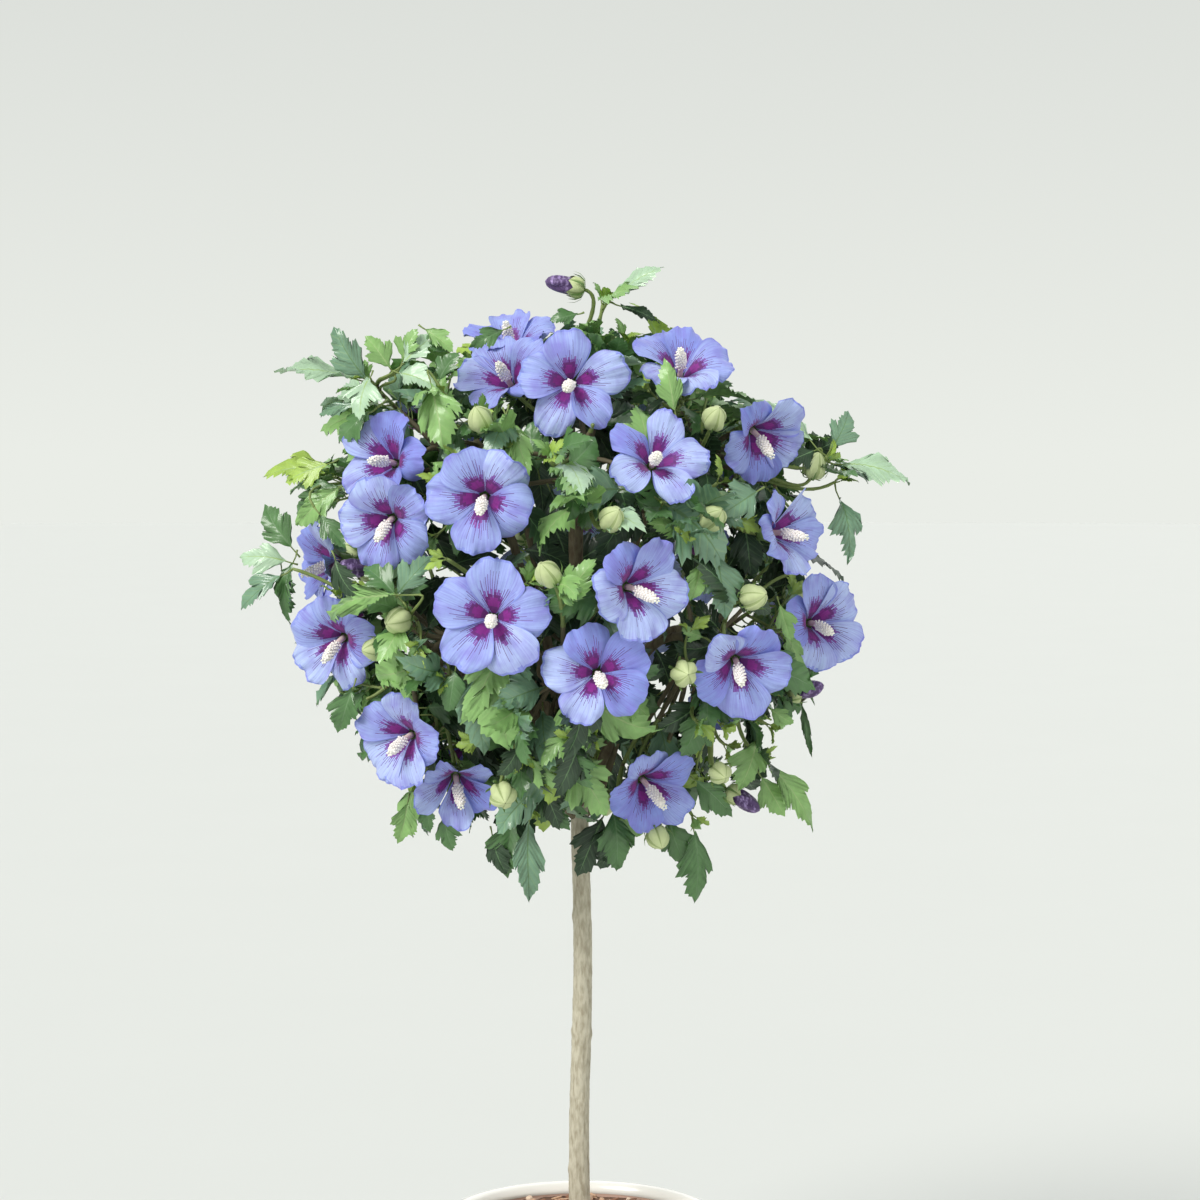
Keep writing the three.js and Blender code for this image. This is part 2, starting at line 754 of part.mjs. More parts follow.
function makeFoliage(mass) {
  const stem = limb(mass.stem, STEM_STEPS, BOUGH_TIP_RADIUS, STEM_TIP_RADIUS, STEM_SIDES);
  const parts = [stem];
  const twigs = twigsOf(mass).filter(({ curve }) => twigFits(curve, mass));
  for (const { target, curve } of twigs) {
    parts.push(limb(curve, TWIG_STEPS, TWIG_BASE_RADIUS, TWIG_TIP_RADIUS, TWIG_SIDES));
    if (target.kind === "bloom") parts.push(loft(bloomRings(target)));
    if (target.kind === "bud") parts.push(loft(budRings(target)));
  }
  const leafPointsSoFar = [];
  for (const twig of twigs) {
    const others = twigs.filter((other) => other !== twig).flatMap(twigPoints);
    const taken = [...others, ...leafPointsSoFar];
    parts.push(...leavesOf(twig, mass, taken).map(loft));
    leafPointsSoFar.push(...taken.slice(others.length + leafPointsSoFar.length));
  }
  return largestBody(wasm.Manifold.union(parts.map(solid)).simplify(SLIVER));
}

// ---- The whole plant ----

const plant = new THREE.Group();
plant.add(named("pot", makePot(), "glaze"));
plant.add(named("potting_soil", makeSoil(), "soil"));
plant.add(named("trunk", makeTrunk(), "bark"));
for (const mass of masses) {
  plant.add(named(`bough_${mass.name}`, makeBough(mass), "bark"));
  plant.add(named(`foliage_${mass.name}`, makeFoliage(mass), "foliage"));
}

export default plant;
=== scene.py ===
"""A rose of sharon grown as a small standard, with its flowers, leaves and buds, in a glazed pot.

Lengths are in millimetres, in the frame of the solids, until a piece is made in metres. The crown
grows by the same seeded rule as the solids do, and is carried on to more leaves and finer twigs.
"""

import functools
import math
from dataclasses import dataclass

import bpy
import numpy as np
from bpy.props import FloatProperty, FloatVectorProperty, IntProperty, PointerProperty
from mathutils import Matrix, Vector, noise


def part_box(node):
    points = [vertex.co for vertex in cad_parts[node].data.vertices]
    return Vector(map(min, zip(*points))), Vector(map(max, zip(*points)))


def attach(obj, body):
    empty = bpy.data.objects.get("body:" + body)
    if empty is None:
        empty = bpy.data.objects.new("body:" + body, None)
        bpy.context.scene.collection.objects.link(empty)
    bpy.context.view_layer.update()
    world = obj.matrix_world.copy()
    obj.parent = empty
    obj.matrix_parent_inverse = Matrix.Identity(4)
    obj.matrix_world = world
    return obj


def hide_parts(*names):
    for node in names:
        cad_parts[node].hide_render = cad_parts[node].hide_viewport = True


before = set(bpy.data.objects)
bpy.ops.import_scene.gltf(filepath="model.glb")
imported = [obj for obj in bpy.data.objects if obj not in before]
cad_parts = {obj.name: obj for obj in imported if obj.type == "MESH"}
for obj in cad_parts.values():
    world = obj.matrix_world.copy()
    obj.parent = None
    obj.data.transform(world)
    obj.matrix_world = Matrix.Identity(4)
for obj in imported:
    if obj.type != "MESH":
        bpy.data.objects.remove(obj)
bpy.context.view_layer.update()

bl_info = {
    "name": "Potted rose of sharon",
    "version": (1, 0, 0),
    "blender": (4, 5, 0),
    "location": "View3D > Sidebar > Rose of sharon",
    "description": "Grows a small flowering standard in a pot, with its leaves, flowers and bark",
    "category": "Add Mesh",
}

MM = 0.001

# ---- Driving dimensions, as in the solids ----

SOIL_TOP = 185
POT_WALL = 7
POT_FLOOR = 10
POT_FOOT_ROUNDING = 4
LIP_RADIUS = 7
LIP_OVERHANG = 6

TRUNK_TOP = 575
TRUNK_RADIUS_LOW = 8.1
TRUNK_RADIUS_HIGH = 6.6
ROOT_FLARE = 3
ROOT_FLARE_HEIGHT = 13
TRUNK_SWAY = 1.5
TRUNK_SWAY_LENGTH = 300
TRUNK_SWAY_START = 322
TRUNK_STEPS = 13

CURVE_HANDLE = 0.33
BOUGH_BASE_RADIUS = 4.4
BOUGH_TIP_RADIUS = 3.2
BOUGH_STEPS = 5
BOUGH_SPREAD = 0.6
BOUGH_STRAIGHTNESS = 0.8
STEM_TIP_RADIUS = 2.6
FIRST_TWIG = 0.15
TWIG_TURN = 0.5

CROWN_CENTRE = np.array((-7.0, 0.0, 699.0))
CROWN_RADIUS = 213
CORE_RADIUS = 95
STEM_REACH = 0.74

# Rings of masses: name, count, elevation, azimuth, reach, and the boughs' foot and its rise
CROWN_RINGS = (
    ("top", 1, 90, 0, 0.38, 569, 0),
    ("upper", 5, 42, -66, 0.42, 535, 5),
    ("lower", 6, -26, -62, 0.48, 508, 5),
)

FIRST_NODE = 0.3
LAST_NODE_UNDER_BLOOM = 0.8
DIVERGENCE = 137.508
LEAF_TRIES = (1, 0.95, 0.9, 0.8, 0.7)
TRY_TURN = 75
LEAF_HALF_WIDTH = 0.31
LEAF_WIDEST = 0.5
LEAF_ARCH = 0.05
LEAF_TIP_DROOP = 0.1
LEAF_ASIDE = 0.9
LEAF_ALONG_LOW = 0.35
LEAF_ALONG_HIGH = 0.8
LEAF_OUTWARD = 0.45
LEAF_DROOP = 0.35

BLOOM_RADIUS = 41
BLOOM_DEPTH = 28
BLOOM_FOOT = 21
PETALS = 5
BUD_LENGTH = 23
BUD_RADIUS = 10.5

SPREAD_BLOOMS = 46
BLOOM_REACH = 190
BLOOM_SPACING = 25
BLOOM_LIFT = 0.15
LOWEST_BLOOM = -62
BACK_FROM = 0.25
SPREAD_SHOOTS = 135
SHOOT_REACH_LEAST = 0.76
SHOOT_REACH_MOST = 0.9
SHOOT_LIFT = 0.25
SHOOT_SPACING = 11.5
SHOOT_FROM_TRUNK = 24
BUD_SHARE = 0.25
SHOOT_SEEDS_FROM = 1000
LEAF_REACH = 224
FREE_LEAF_REACH = 246

SPACE_MARGIN = 1.2
LIMB_MARGIN = 5
TWIG_MARGIN = 2.4
BLOOM_MARGIN = 3
BLOOM_BACK_ROOM = 9

# Flowers of the open side: centre x, y, z, then the way they face, azimuth from -Y and elevation,
# how far their first petal is turned from upright, how far their petals stand up, and half the
# width and the reach of a petal
FRONT_BLOOMS = (
    (-59, -60, 856, -30, 39, 22, 3, 20, 42),
    (-6, -125, 846, 0, 2, 20, 0, 18.5, 44),
    (78, -62, 865, 13, 49, 4, 4, 21, 43),
    (56, -150, 793, 12, 27, 5, 1, 17, 41.5),
    (-147, -92, 791, -28, 15, 45, 6, 20, 42),
    (-144, -126, 743, -18, -10, 19, 3, 21, 41),
    (-71, -165, 761, -7, -6, 38, 0, 23, 42),
    (-64, -178, 677, -6, 6, 4, 1, 22, 45.5),
    (44, -180, 698, 34, 0, 5, 4, 21.5, 43),
    (13, -176, 635, 0, 0, 33, 1, 20, 42.5),
    (119, -132, 636, 14, -20, 10, 7, 22, 42),
    (186, -42, 665, 32, 5, -22, 5, 20.5, 42),
    (157, -86, 737, 54, 9, 0, 8, 20, 41),
    (139, -70, 804, 32, -25, 15, 6, 20, 41),
    (-188, -64, 650, -25, -12, 50, 4, 22, 41),
    (-136, -90, 580, -30, -6, 45, 5, 21, 42),
    (-93, -78, 541, 6, -28, 0, 14, 15, 40),
    (54, -88, 542, 25, -19, -5, 8, 19, 41),
    (-205, 10, 708, -125, -4, 0, 8, 20, 41),
)

# Flowers that others half hide, in the same terms
HIDDEN_BLOOMS = ((-56, -12, 885, -22, 62, 10, 6, 20, 41),)

# Shoots of the open side that end in a bud: x, y, z of the bud's foot, then the way it points,
# azimuth from -Y and elevation
BUD_SHOOTS = (
    (98, -100, 815, 20, 40),
    (20, -176, 744, 30, 30),
    (-19, -186, 703, -30, 40),
    (-128, -136, 674, -35, -10),
    (75, -150, 635, 10, 0),
    (-58, -124, 546, 10, -20),
    (102, -100, 557, 20, -10),
    (57, -72, 509, 20, -40),
    (158, -76, 613, 65, 15),
    (112, -62, 538, 72, -30),
    (2, -22, 920, -90, 12),
    (177, -34, 777, 30, 60),
)

# The leaves' tints, as numbers of their materials. The deep tint is painted shade, the light and
# pale tints are painted light, and the blue tint is a painted sheen of the sky. The middle and
# young tints are the leaves' own greens.
DEEP_SHADE, MIDDLE, LIT_GREEN, BLUE_SHEEN, PALE_LIT, YOUNG, RIB, DARK_RIB = range(8)

# Shoots that stand out of the ball: x, y, z of the shoot's end, then of its longest leaf's tip,
# and that leaf's width, lobing and tint. The deep tint is painted shade, the light and pale tints
# painted light and the blue tint a painted sheen.
FREE_SHOOTS = (
    (17, -25, 908, 61, -35, 939, 0.8, 0.4, PALE_LIT),
    (188, -30, 788, 253, -40, 777, 0.8, 0.3, PALE_LIT),
    (196, -20, 772, 212, -40, 712, 0.8, 1, BLUE_SHEEN),
    (-159, -40, 849, -231, -50, 861, 0.55, 0.2, PALE_LIT),
    (-186, -30, 775, -237, -40, 791, 0.95, 0.5, YOUNG),
    (-220, -42, 706, -264, -45, 680, 0.7, 0.8, BLUE_SHEEN),
    (-37, -88, 532, -44, -95, 457, 0.55, 0.4, BLUE_SHEEN),
    (30, -42, 524, 18, -52, 476, 0.9, 1, DEEP_SHADE),
    (85, -60, 519, 94, -70, 454, 0.85, 0.9, MIDDLE),
    (133, -70, 568, 184, -80, 518, 0.62, 0.7, LIT_GREEN),
    (-124, -25, 546, -141, -25, 499, 0.9, 1, LIT_GREEN),
)

# ---- What the fine crown adds ----

# The flower that turns to the light once it has grown: its number, and the way it faces then
TURNED_BLOOM = 18
TURNED_WAY = (-66, -4)

# Leaves that stand out by themselves: x, y, z of the blade's foot and of its tip, then its width,
# its lobing and its tint. The deep tint is painted shade, the light and pale tints painted light
# and the blue tint a painted sheen.
PLACED_LEAVES = (
    (-162, -62, 851, -190, -70, 884, 0.8, 0.7, BLUE_SHEEN),
    (-158, -80, 850, -169, -100, 825, 1.2, 1.2, PALE_LIT),
    (-144, -62, 859, -160, -66, 883, 1.0, 0.8, LIT_GREEN),
    (-134, -60, 865, -126, -66, 888, 1.2, 1.1, LIT_GREEN),
    (-133, -66, 862, -109, -60, 884, 1.1, 0.6, PALE_LIT),
    (-134, -80, 854, -108, -96, 846, 1.2, 0.6, PALE_LIT),
    (-105, -84, 849, -93, -84, 871, 1.2, 1, MIDDLE),
    (-110, -100, 844, -97, -128, 803, 1.0, 0.5, LIT_GREEN),
    (-158, -84, 824, -185, -76, 806, 1.1, 0.8, MIDDLE),
    (-167, -74, 831, -200, -60, 825, 0.4, 0.2, BLUE_SHEEN),
    (-192, -50, 786, -226, -44, 772, 0.9, 1, YOUNG),
    (-183, -60, 769, -216, -48, 766, 0.4, 0.3, MIDDLE),
    (-182, -66, 768, -218, -60, 742, 0.85, 0.3, LIT_GREEN),
    (-185, -56, 765, -230, -40, 743, 0.8, 0.5, MIDDLE),
    (-223, -24, 722, -250, -20, 753, 1.0, 0.5, MIDDLE),
    (-227, -24, 711, -263, -24, 721, 1.0, 0.8, PALE_LIT),
    (-221, -34, 710, -235, -42, 669, 0.5, 0.4, MIDDLE),
    (-135, -140, 692, -160, -128, 716, 0.9, 1, MIDDLE),
    (-132, -142, 692, -112, -150, 720, 0.9, 1, BLUE_SHEEN),
    (-134, -146, 691, -207, -96, 687, 0.35, 0.2, LIT_GREEN),
    (-112, -136, 641, -155, -124, 626, 1.1, 1, LIT_GREEN),
    (-171, -84, 617, -182, -84, 583, 1.1, 0.6, MIDDLE),
    (-91, -140, 635, -94, -146, 606, 1.2, 0.3, MIDDLE),
    (-76, -140, 635, -73, -146, 574, 0.8, 0.3, BLUE_SHEEN),
    (-61, -150, 634, -53, -160, 581, 1.25, 0.4, LIT_GREEN),
    (-104, -60, 518, -98, -62, 491, 1.1, 0.8, MIDDLE),
    (-31, -96, 546, -66, -104, 516, 0.9, 0.3, BLUE_SHEEN),
    (-51, -60, 515, -60, -64, 472, 0.9, 0.8, MIDDLE),
    (-18, -120, 570, -21, -132, 537, 1.0, 1, YOUNG),
    (-9, -118, 568, 24, -128, 532, 1.0, 1, LIT_GREEN),
    (-29, -84, 540, -11, -90, 510, 1.1, 0.8, MIDDLE),
    (17, -40, 514, -3, -46, 470, 1.0, 1, DEEP_SHADE),
    (25, -60, 521, 31, -66, 477, 1.0, 0.5, MIDDLE),
    (133, -76, 578, 125, -84, 540, 1.1, 0.8, LIT_GREEN),
    (169, -50, 603, 174, -54, 562, 0.25, 0.2, MIDDLE),
    (144, -72, 601, 160, -76, 590, 1.0, 0.8, LIT_GREEN),
    (88, -70, 546, 117, -76, 524, 0.9, 0.3, MIDDLE),
    (93, -104, 603, 76, -108, 569, 1.0, 0.5, MIDDLE),
    (89, -100, 608, 63, -110, 588, 1.0, 0.5, DEEP_SHADE),
    (46, -60, 583, 14, -70, 579, 0.9, 0.5, DEEP_SHADE),
    (70, -116, 826, 62, -122, 861, 0.9, 0.5, LIT_GREEN),
    (176, -40, 804, 131, -36, 851, 0.4, 0.2, PALE_LIT),
    (193, -34, 799, 209, -34, 825, 1.2, 1, BLUE_SHEEN),
    (178, -40, 796, 160, -50, 789, 1.4, 0.8, DEEP_SHADE),
    (66, -138, 755, 112, -150, 725, 1.4, 1, BLUE_SHEEN),
    (130, -124, 766, 106, -136, 752, 1.4, 0.5, BLUE_SHEEN),
    (100, -140, 720, 108, -146, 675, 0.9, 0.8, BLUE_SHEEN),
    (88, -146, 715, 85, -150, 687, 0.9, 0.4, LIT_GREEN),
    (111, -124, 704, 140, -120, 672, 0.9, 0.4, DEEP_SHADE),
    (149, -96, 681, 157, -100, 654, 0.9, 0.8, LIT_GREEN),
    (152, -84, 662, 171, -80, 625, 0.6, 0.5, LIT_GREEN),
    (-2, -40, 900, -22, -46, 894, 1.0, 0.5, MIDDLE),
    (31, -24, 907, 60, -30, 895, 0.5, 0.4, DEEP_SHADE),
    (-58, -64, 887, -83, -70, 875, 0.8, 1, MIDDLE),
    (-52, -128, 818, -34, -150, 779, 0.6, 0.5, LIT_GREEN),
    (-54, -128, 822, -62, -146, 791, 1.0, 0.5, BLUE_SHEEN),
    (-7, -150, 785, 15, -146, 805, 1.4, 0.5, MIDDLE),
    (29, -150, 768, -12, -160, 767, 1.4, 0.5, BLUE_SHEEN),
    (-115, -20, 740, -102, -32, 707, 1.1, 0.6, DEEP_SHADE),
    (-105, 10, 705, -71, -2, 717, 1.1, 0.6, DEEP_SHADE),
    (-36, 20, 790, -28, 8, 751, 1.1, 0.6, DEEP_SHADE),
    (-44, 20, 718, -8, 8, 713, 1.1, 0.6, DEEP_SHADE),
    (-23, 30, 737, -3, 18, 703, 1.2, 0.6, DEEP_SHADE),
    (-8, 20, 706, 26, 8, 726, 1.2, 0.6, DEEP_SHADE),
    (126, -20, 740, 132, -32, 703, 1.1, 0.6, DEEP_SHADE),
    (58, -20, 642, 73, -32, 616, 1.0, 0.6, DEEP_SHADE),
    (40, -30, 615, 66, -42, 607, 1.0, 0.6, DEEP_SHADE),
    (-34, 10, 821, -6, -2, 798, 1.1, 0.6, DEEP_SHADE),
    (-132, -52, 527, -138, -58, 497, 1.0, 0.8, LIT_GREEN),
    (-118, -62, 526, -113, -66, 507, 1.0, 0.7, MIDDLE),
    (-67, -62, 503, -61, -66, 473, 0.9, 0.6, DEEP_SHADE),
    (68, -58, 515, 77, -62, 479, 1.1, 0.7, MIDDLE),
    (138, -66, 548, 156, -70, 520, 1.0, 0.6, LIT_GREEN),
    (-231, -20, 704, -224, -26, 672, 0.8, 0.6, MIDDLE),
    (-181, -110, 715, -169, -120, 686, 0.9, 0.8, DEEP_SHADE),
    (-194, -90, 748, -175, -100, 724, 0.9, 0.8, MIDDLE),
    (-116, -70, 887, -94, -76, 872, 0.9, 0.8, LIT_GREEN),
    (-99, -72, 870, -117, -70, 881, 0.9, 0.8, MIDDLE),
)

# Lines of sight that no grown leaf stands in, from the point they are seen from: x and z where they
# pass the trunk's plane, and their radius. The open side's flowers keep their faces free too.
SEEN_FROM = np.array((15.0, -2197.0, 795.0))
OPENINGS = (
    (-114, 709, 10),
    (-119, 732, 7),
    (-82, 711, 6),
    (-33, 766, 7),
    (-35, 719, 5),
    (5, 734, 5),
    (75, 602, 12),
    (69, 627, 4),
    (101, 680, 6),
    (130, 672, 11),
    (168, 778, 7),
    (-177, 696, 5),
    (110, 566, 10),
    (105, 496, 10),
    (-124, 696, 4),
    (3, 907, 11),
    (32, 898, 10),
    (58, 919, 5),
    (-174, 865, 6),
    (-156, 862, 9),
    (128, 851, 13),
    (153, 842, 7),
    (191, 764, 12),
    (180, 738, 11),
    (211, 764, 7),
    (199, 723, 6),
    (-153, 530, 11),
    (-27, 493, 7),
    (15, 465, 7),
    (121, 573, 11),
    (160, 578, 15),
    (165, 550, 14),
    (178, 569, 7),
    (106, 516, 6),
    (76, 600, 11),
)
FACE_RADIUS = 34

# The buds of the open side that show their petals furled, by their place in the list, and the
# share of the other buds that do
FURLED_BUDS = (8, 9, 10)
FURLED_SHARE = 0.3
LEAF_ROOM = 3.5
THROAT_RADIUS = 15
THROAT_BACK_ROOM = 24
PETIOLE_SHARE = 0.2

# Steps at which a new twig and a side twig are tested, and the steps and spokes of the points
# that stand for a twig and the back of its flower
TESTED_STEPS = 10
TESTED_SIDE_STEPS = 6
SAMPLED_STEPS = 14
SAMPLED_SPOKES = 15
# The steps of a twig, out of all of them, that the thin twig to a placed leaf may leave from
JOIN_STEPS = 20
FIRST_JOIN = 6
LAST_JOIN = 18

# The nodes that bear a side twig, counted up to the twig's tip
SIDE_TWIG_NODES = (4, 7)
TIP_NODE = 11
SIDE_TWIG_SHORTEST = 26
SIDE_TWIG_LONGEST = 42
SIDE_LEAF_NODES = 4
SIDE_LEAF_SHORTEST = 30
SIDE_LEAF_LONGEST = 46
TUFT_LEAVES = 4
TUFT_LEAF_LENGTH = 20
UPPER_LEAVES_FROM = 683
# The side of the crown that the light falls on
LIT_SIDE = np.array((-0.62, -0.35, 0.70))
# How much the light raises a leaf's draw for a lighter tint, as painted light, and how much it
# lowers it on the far side, as painted shade
LIT_LUCK = 0.36
SHADED_LUCK = 0.3
# Within this share of the crown's radius the leaves are painted in shade: deep up to this draw,
# which the light raises or lowers, and mid-green past it
SHADED_LEAVES_WITHIN = 0.74
SHADED_DEEP_LUCK = 0.75
# Past this share of a long twig's length some leaves are young, and in a tuft most are
LONG_TWIG = 100
YOUNG_FROM = 0.9
YOUNG_SHARE = 0.3
YOUNG_TUFT_SHARE = 0.6
PALE_SHARE = 0.6
# The outer leaves' tints, each up to its own draw, which the light raises or lowers: painted shade,
# mid-green, a painted bluish sheen and painted light. A leaf past them all is pale or light, both
# painted light.
OUTER_TINTS = ((0.18, DEEP_SHADE), (0.52, MIDDLE), (0.74, BLUE_SHEEN), (1.02, LIT_GREEN))

# Half a leaf, from its foot to its tip: where each line to the edge leaves the rib, where it ends
# along the rib and aside from it, how much further aside it ends on a leaf with no lobes, and 1
# where the line is a side vein, which ends in a tooth
LEAF_LINES = np.array((
    (0.00, 0.00, 0.012, 0.00, 0),
    (0.03, 0.11, 0.085, 0.02, 1),
    (0.05, 0.19, 0.140, 0.03, 0),
    (0.07, 0.28, 0.228, 0.03, 1),
    (0.09, 0.35, 0.272, 0.01, 0),
    (0.12, 0.45, 0.368, -0.02, 1),
    (0.15, 0.495, 0.340, -0.02, 0),
    (0.18, 0.60, 0.378, -0.07, 1),
    (0.22, 0.59, 0.296, 0.00, 0),
    (0.26, 0.625, 0.258, 0.05, 1),
    (0.31, 0.545, 0.150, 0.13, 0),
    (0.38, 0.63, 0.200, 0.08, 1),
    (0.44, 0.65, 0.168, 0.075, 0),
    (0.50, 0.735, 0.218, 0.03, 1),
    (0.57, 0.745, 0.168, 0.035, 0),
    (0.64, 0.83, 0.178, 0.01, 1),
    (0.71, 0.84, 0.126, 0.015, 0),
    (0.78, 0.915, 0.112, 0.00, 1),
    (0.86, 0.93, 0.068, 0.00, 0),
    (1.00, 1.00, 0.000, 0.00, 1),
))
LEAF_COLUMNS = np.array((1, 0.45, 0.05, 0, -0.05, -0.45, -1))

# The petals of a flower in no list: how far they stand up at most, and half their width
MOST_STANDING = 9
PETAL_HALF_WIDTHS = (18.5, 22)
PETAL_ROWS = 21
PETAL_COLUMNS = 43
PETAL_CLAW = 3.5
PETAL_ROLL = 16
THROAT_DEPTH = 18
# The eye's width and reach, and a vein's half width, as shares of the petal
EYE_SHARE = 0.72
EYE_REACH = 0.36
VEIN_HALF_WIDTH = 0.017
# A column's foot and tip, ahead of the flower's centre, and how far its tip sags
COLUMN_FOOT = -18
COLUMN_TIP = 13.5
COLUMN_SAG = (5, 9)
# A column's radii from its foot to its tip
COLUMN_RADII = (2.3, 2.2, 2.1, 2.5, 3.1, 3.2, 3.1, 2.8, 1.8)
ANTHERS = 84

# The first of the seeds for each kind of draw
TINT_SEEDS = 2000
SIDE_TURN_SEEDS = 3000
SIDE_TWIG_SEEDS = 4000
PLACED_SEEDS = 5000
TUFT_SEEDS = 6000
PETAL_SEEDS = 7000
COLUMN_SEEDS = 8000
BUD_SEEDS = 9000
CHIP_SEED = 77

# Scars of cut twigs on the trunk: height, azimuth from -Y, and width
TRUNK_SCARS = (
    (474, 25, 5),
    (432, -62, 6),
    (387, 48, 6),
    (341, -66, 5),
    (338, 62, 5),
    (282, 12, 6),
    (231, -70, 5),
    (402, 170, 6),
    (300, 205, 5),
    (250, 140, 5),
)

# ---- Settings ----

POT_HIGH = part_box("pot")[1]


def shown(red, green, blue):
    """The linear colour of one that shows on screen as these three numbers, from 0 to 255."""
    return tuple(
        part / 12.92 if part <= 0.04045 else ((part + 0.055) / 1.055) ** 2.4
        for part in (red / 255, green / 255, blue / 255)
    )


def length_setting(name, description, metres):
    """A length that a user may change."""
    return FloatProperty(name=name, description=description, default=metres, unit="LENGTH")


def colour_setting(name, description, red, green, blue):
    """A colour that a user may change, given as it shows on screen, from 0 to 255."""
    linear = shown(red, green, blue)
    return FloatVectorProperty(
        name=name, description=description, default=linear, subtype="COLOR", size=3, min=0, max=1
    )


class PotSettings(bpy.types.PropertyGroup):
    """The pot and what it holds."""

    height: length_setting("Height", "From the flat underside to the lip's top", POT_HIGH.z)
    rim_radius: length_setting("Rim radius", "From the axis to the outside of the lip", POT_HIGH.x)
    base_radius: length_setting("Base radius", "From the axis to the wall's foot", 80 * MM)
    chips: IntProperty(
        name="Bark chips", description="How many chips of bark lie on the soil", default=620, min=0
    )
    glaze: colour_setting("Glaze", "Outside and lip of the pot", 238, 236, 229)
    inside: colour_setting("Inside", "Inner wall of the pot", 214, 178, 160)
    soil: colour_setting("Soil", "Soil between the chips", 104, 74, 56)
    chip_light: colour_setting("Light chips", "Lighter chips of bark", 196, 160, 132)
    chip_dark: colour_setting("Dark chips", "Darker chips of bark", 138, 98, 74)
    chip_pale: colour_setting("Pale chips", "The few palest chips of bark", 222, 196, 172)


class WoodSettings(bpy.types.PropertyGroup):
    """The trunk, the boughs and the twigs."""

    relief: length_setting("Bark relief", "Depth of the furrows in the trunk's bark", 0.35 * MM)
    bark: colour_setting("Bark", "Bark of the trunk", 194, 188, 168)
    furrow: colour_setting("Furrows", "Bark where it is furrowed or scarred", 156, 147, 126)
    # The boughs' and twigs' bark is far darker than the trunk's: their own grey-brown darkened with
    # painted shade for the inside of the crown
    young_bark_and_shade: colour_setting("Young bark", "Bark of the boughs and twigs", 112, 104, 80)
    young_furrow_and_shade: colour_setting("Young furrows", "Darker bark along the boughs", 86, 74, 54)
    shoot: colour_setting("Shoots", "Green shoots and leaf stalks", 128, 146, 82)


class LeafSettings(bpy.types.PropertyGroup):
    """The leaves."""

    nodes: IntProperty(
        name="Nodes",
        description="How many leaves a twig bears where all of them find room",
        default=12,
        min=1,
    )
    shortest: length_setting("Shortest", "Length of the shortest leaf with its stalk", 48 * MM)
    longest: length_setting("Longest", "Length of the longest leaf with its stalk", 76 * MM)
    # The deep colour is painted shade inside the crown, the light and pale colours painted light,
    # and the blue colour a painted sheen of the sky
    deep: colour_setting("Deep", "Old leaves inside the crown", 46, 72, 46)
    mid: colour_setting("Mid", "Most leaves", 84, 126, 72)
    light: colour_setting("Light", "Leaves at the outside", 140, 184, 108)
    blue: colour_setting("Blue", "Leaves with a bluish bloom", 116, 154, 124)
    pale: colour_setting("Pale", "Outer leaves with a pale bloom", 178, 208, 176)
    young: colour_setting("Young", "Young leaves at the tips of shoots", 164, 194, 88)
    # The lighter rib goes with the light, pale and young leaves and the darker with the rest, so it
    # is partly painted light and painted shade
    rib: colour_setting("Rib", "Ribs and veins of the lighter leaves", 160, 188, 126)
    dark_rib: colour_setting("Dark rib", "Ribs and veins of the darker leaves", 104, 138, 94)


class BloomSettings(bpy.types.PropertyGroup):
    """The flowers and buds."""

    ruffle: length_setting("Ruffle", "Height of the waves along the petals' edges", 2.3 * MM)
    petal: colour_setting("Petals", "Most petals", 160, 177, 236)
    petal_pale: colour_setting("Pale petals", "Petals that catch the light", 180, 197, 243)
    petal_deep: colour_setting("Deep petals", "Petals of a fuller blue", 140, 156, 230)
    blush: colour_setting("Blush", "Violet that flushes the petals", 126, 114, 207)
    eye_rim: colour_setting("Eye's rim", "Darker rim and throat of the eye", 102, 26, 112)
    halo: colour_setting("Halo", "Lilac round the eye", 134, 98, 186)
    eye: colour_setting("Eye", "Eye of the flower", 142, 32, 142)
    vein: colour_setting("Veins", "Veins that run out of the eye", 95, 42, 130)
    column: colour_setting("Column", "Stamens and stigma", 255, 246, 241)
    column_foot: colour_setting("Column's foot", "Where the column leaves the eye", 250, 226, 214)
    stigma: colour_setting("Stigma", "Five knobs at the column's tip", 254, 252, 240)
    calyx: colour_setting("Calyx", "Calyx and its bracts", 116, 146, 84)
    bud: colour_setting("Buds", "Closed green buds", 196, 208, 154)
    # The seams' darker green is partly the dark edges of the calyx's parts and partly painted shade
    # in their grooves
    bud_seam_shade: colour_setting("Buds' seams", "Where the parts of a calyx meet", 160, 176, 118)
    furled: colour_setting("Furled petals", "Petals still furled in the bud", 84, 58, 110)
    furled_pale: colour_setting("Furled edges", "Paler parts of furled petals", 172, 148, 204)


class StageSettings(bpy.types.PropertyGroup):
    """The floor, the light and the camera."""

    floor: colour_setting("Floor", "The plain floor", 214, 216, 212)
    horizon: colour_setting("Horizon", "The light from all round, low down", 234, 237, 231)
    zenith: colour_setting("Zenith", "The light from above", 122, 128, 134)
    camera_distance: length_setting("Camera distance", "From there to the trunk's plane", 2.197)
    camera_height: length_setting("Camera height", "Of the camera above the floor", 0.795)
    camera_aside: length_setting("Camera aside", "Of the camera to the right of the trunk", 0.015)
    camera_pitch: FloatProperty(
        name="Camera pitch",
        description="How far down the camera looks",
        default=math.radians(3),
        subtype="ANGLE",
    )
    camera_lens: FloatProperty(
        name="Lens",
        description="Focal length on a sensor 36 mm wide, in millimetres",
        default=84.6,
    )


# ---- Small tools ----

UP = np.array((0.0, 0.0, 1.0))
FRONT = np.array((0.0, -1.0, 0.0))
SIDE = np.array((1.0, 0.0, 0.0))
SKEW = np.array((0.31, 0.95, 0.02))


def mix(low, high, share):
    return low + (high - low) * share


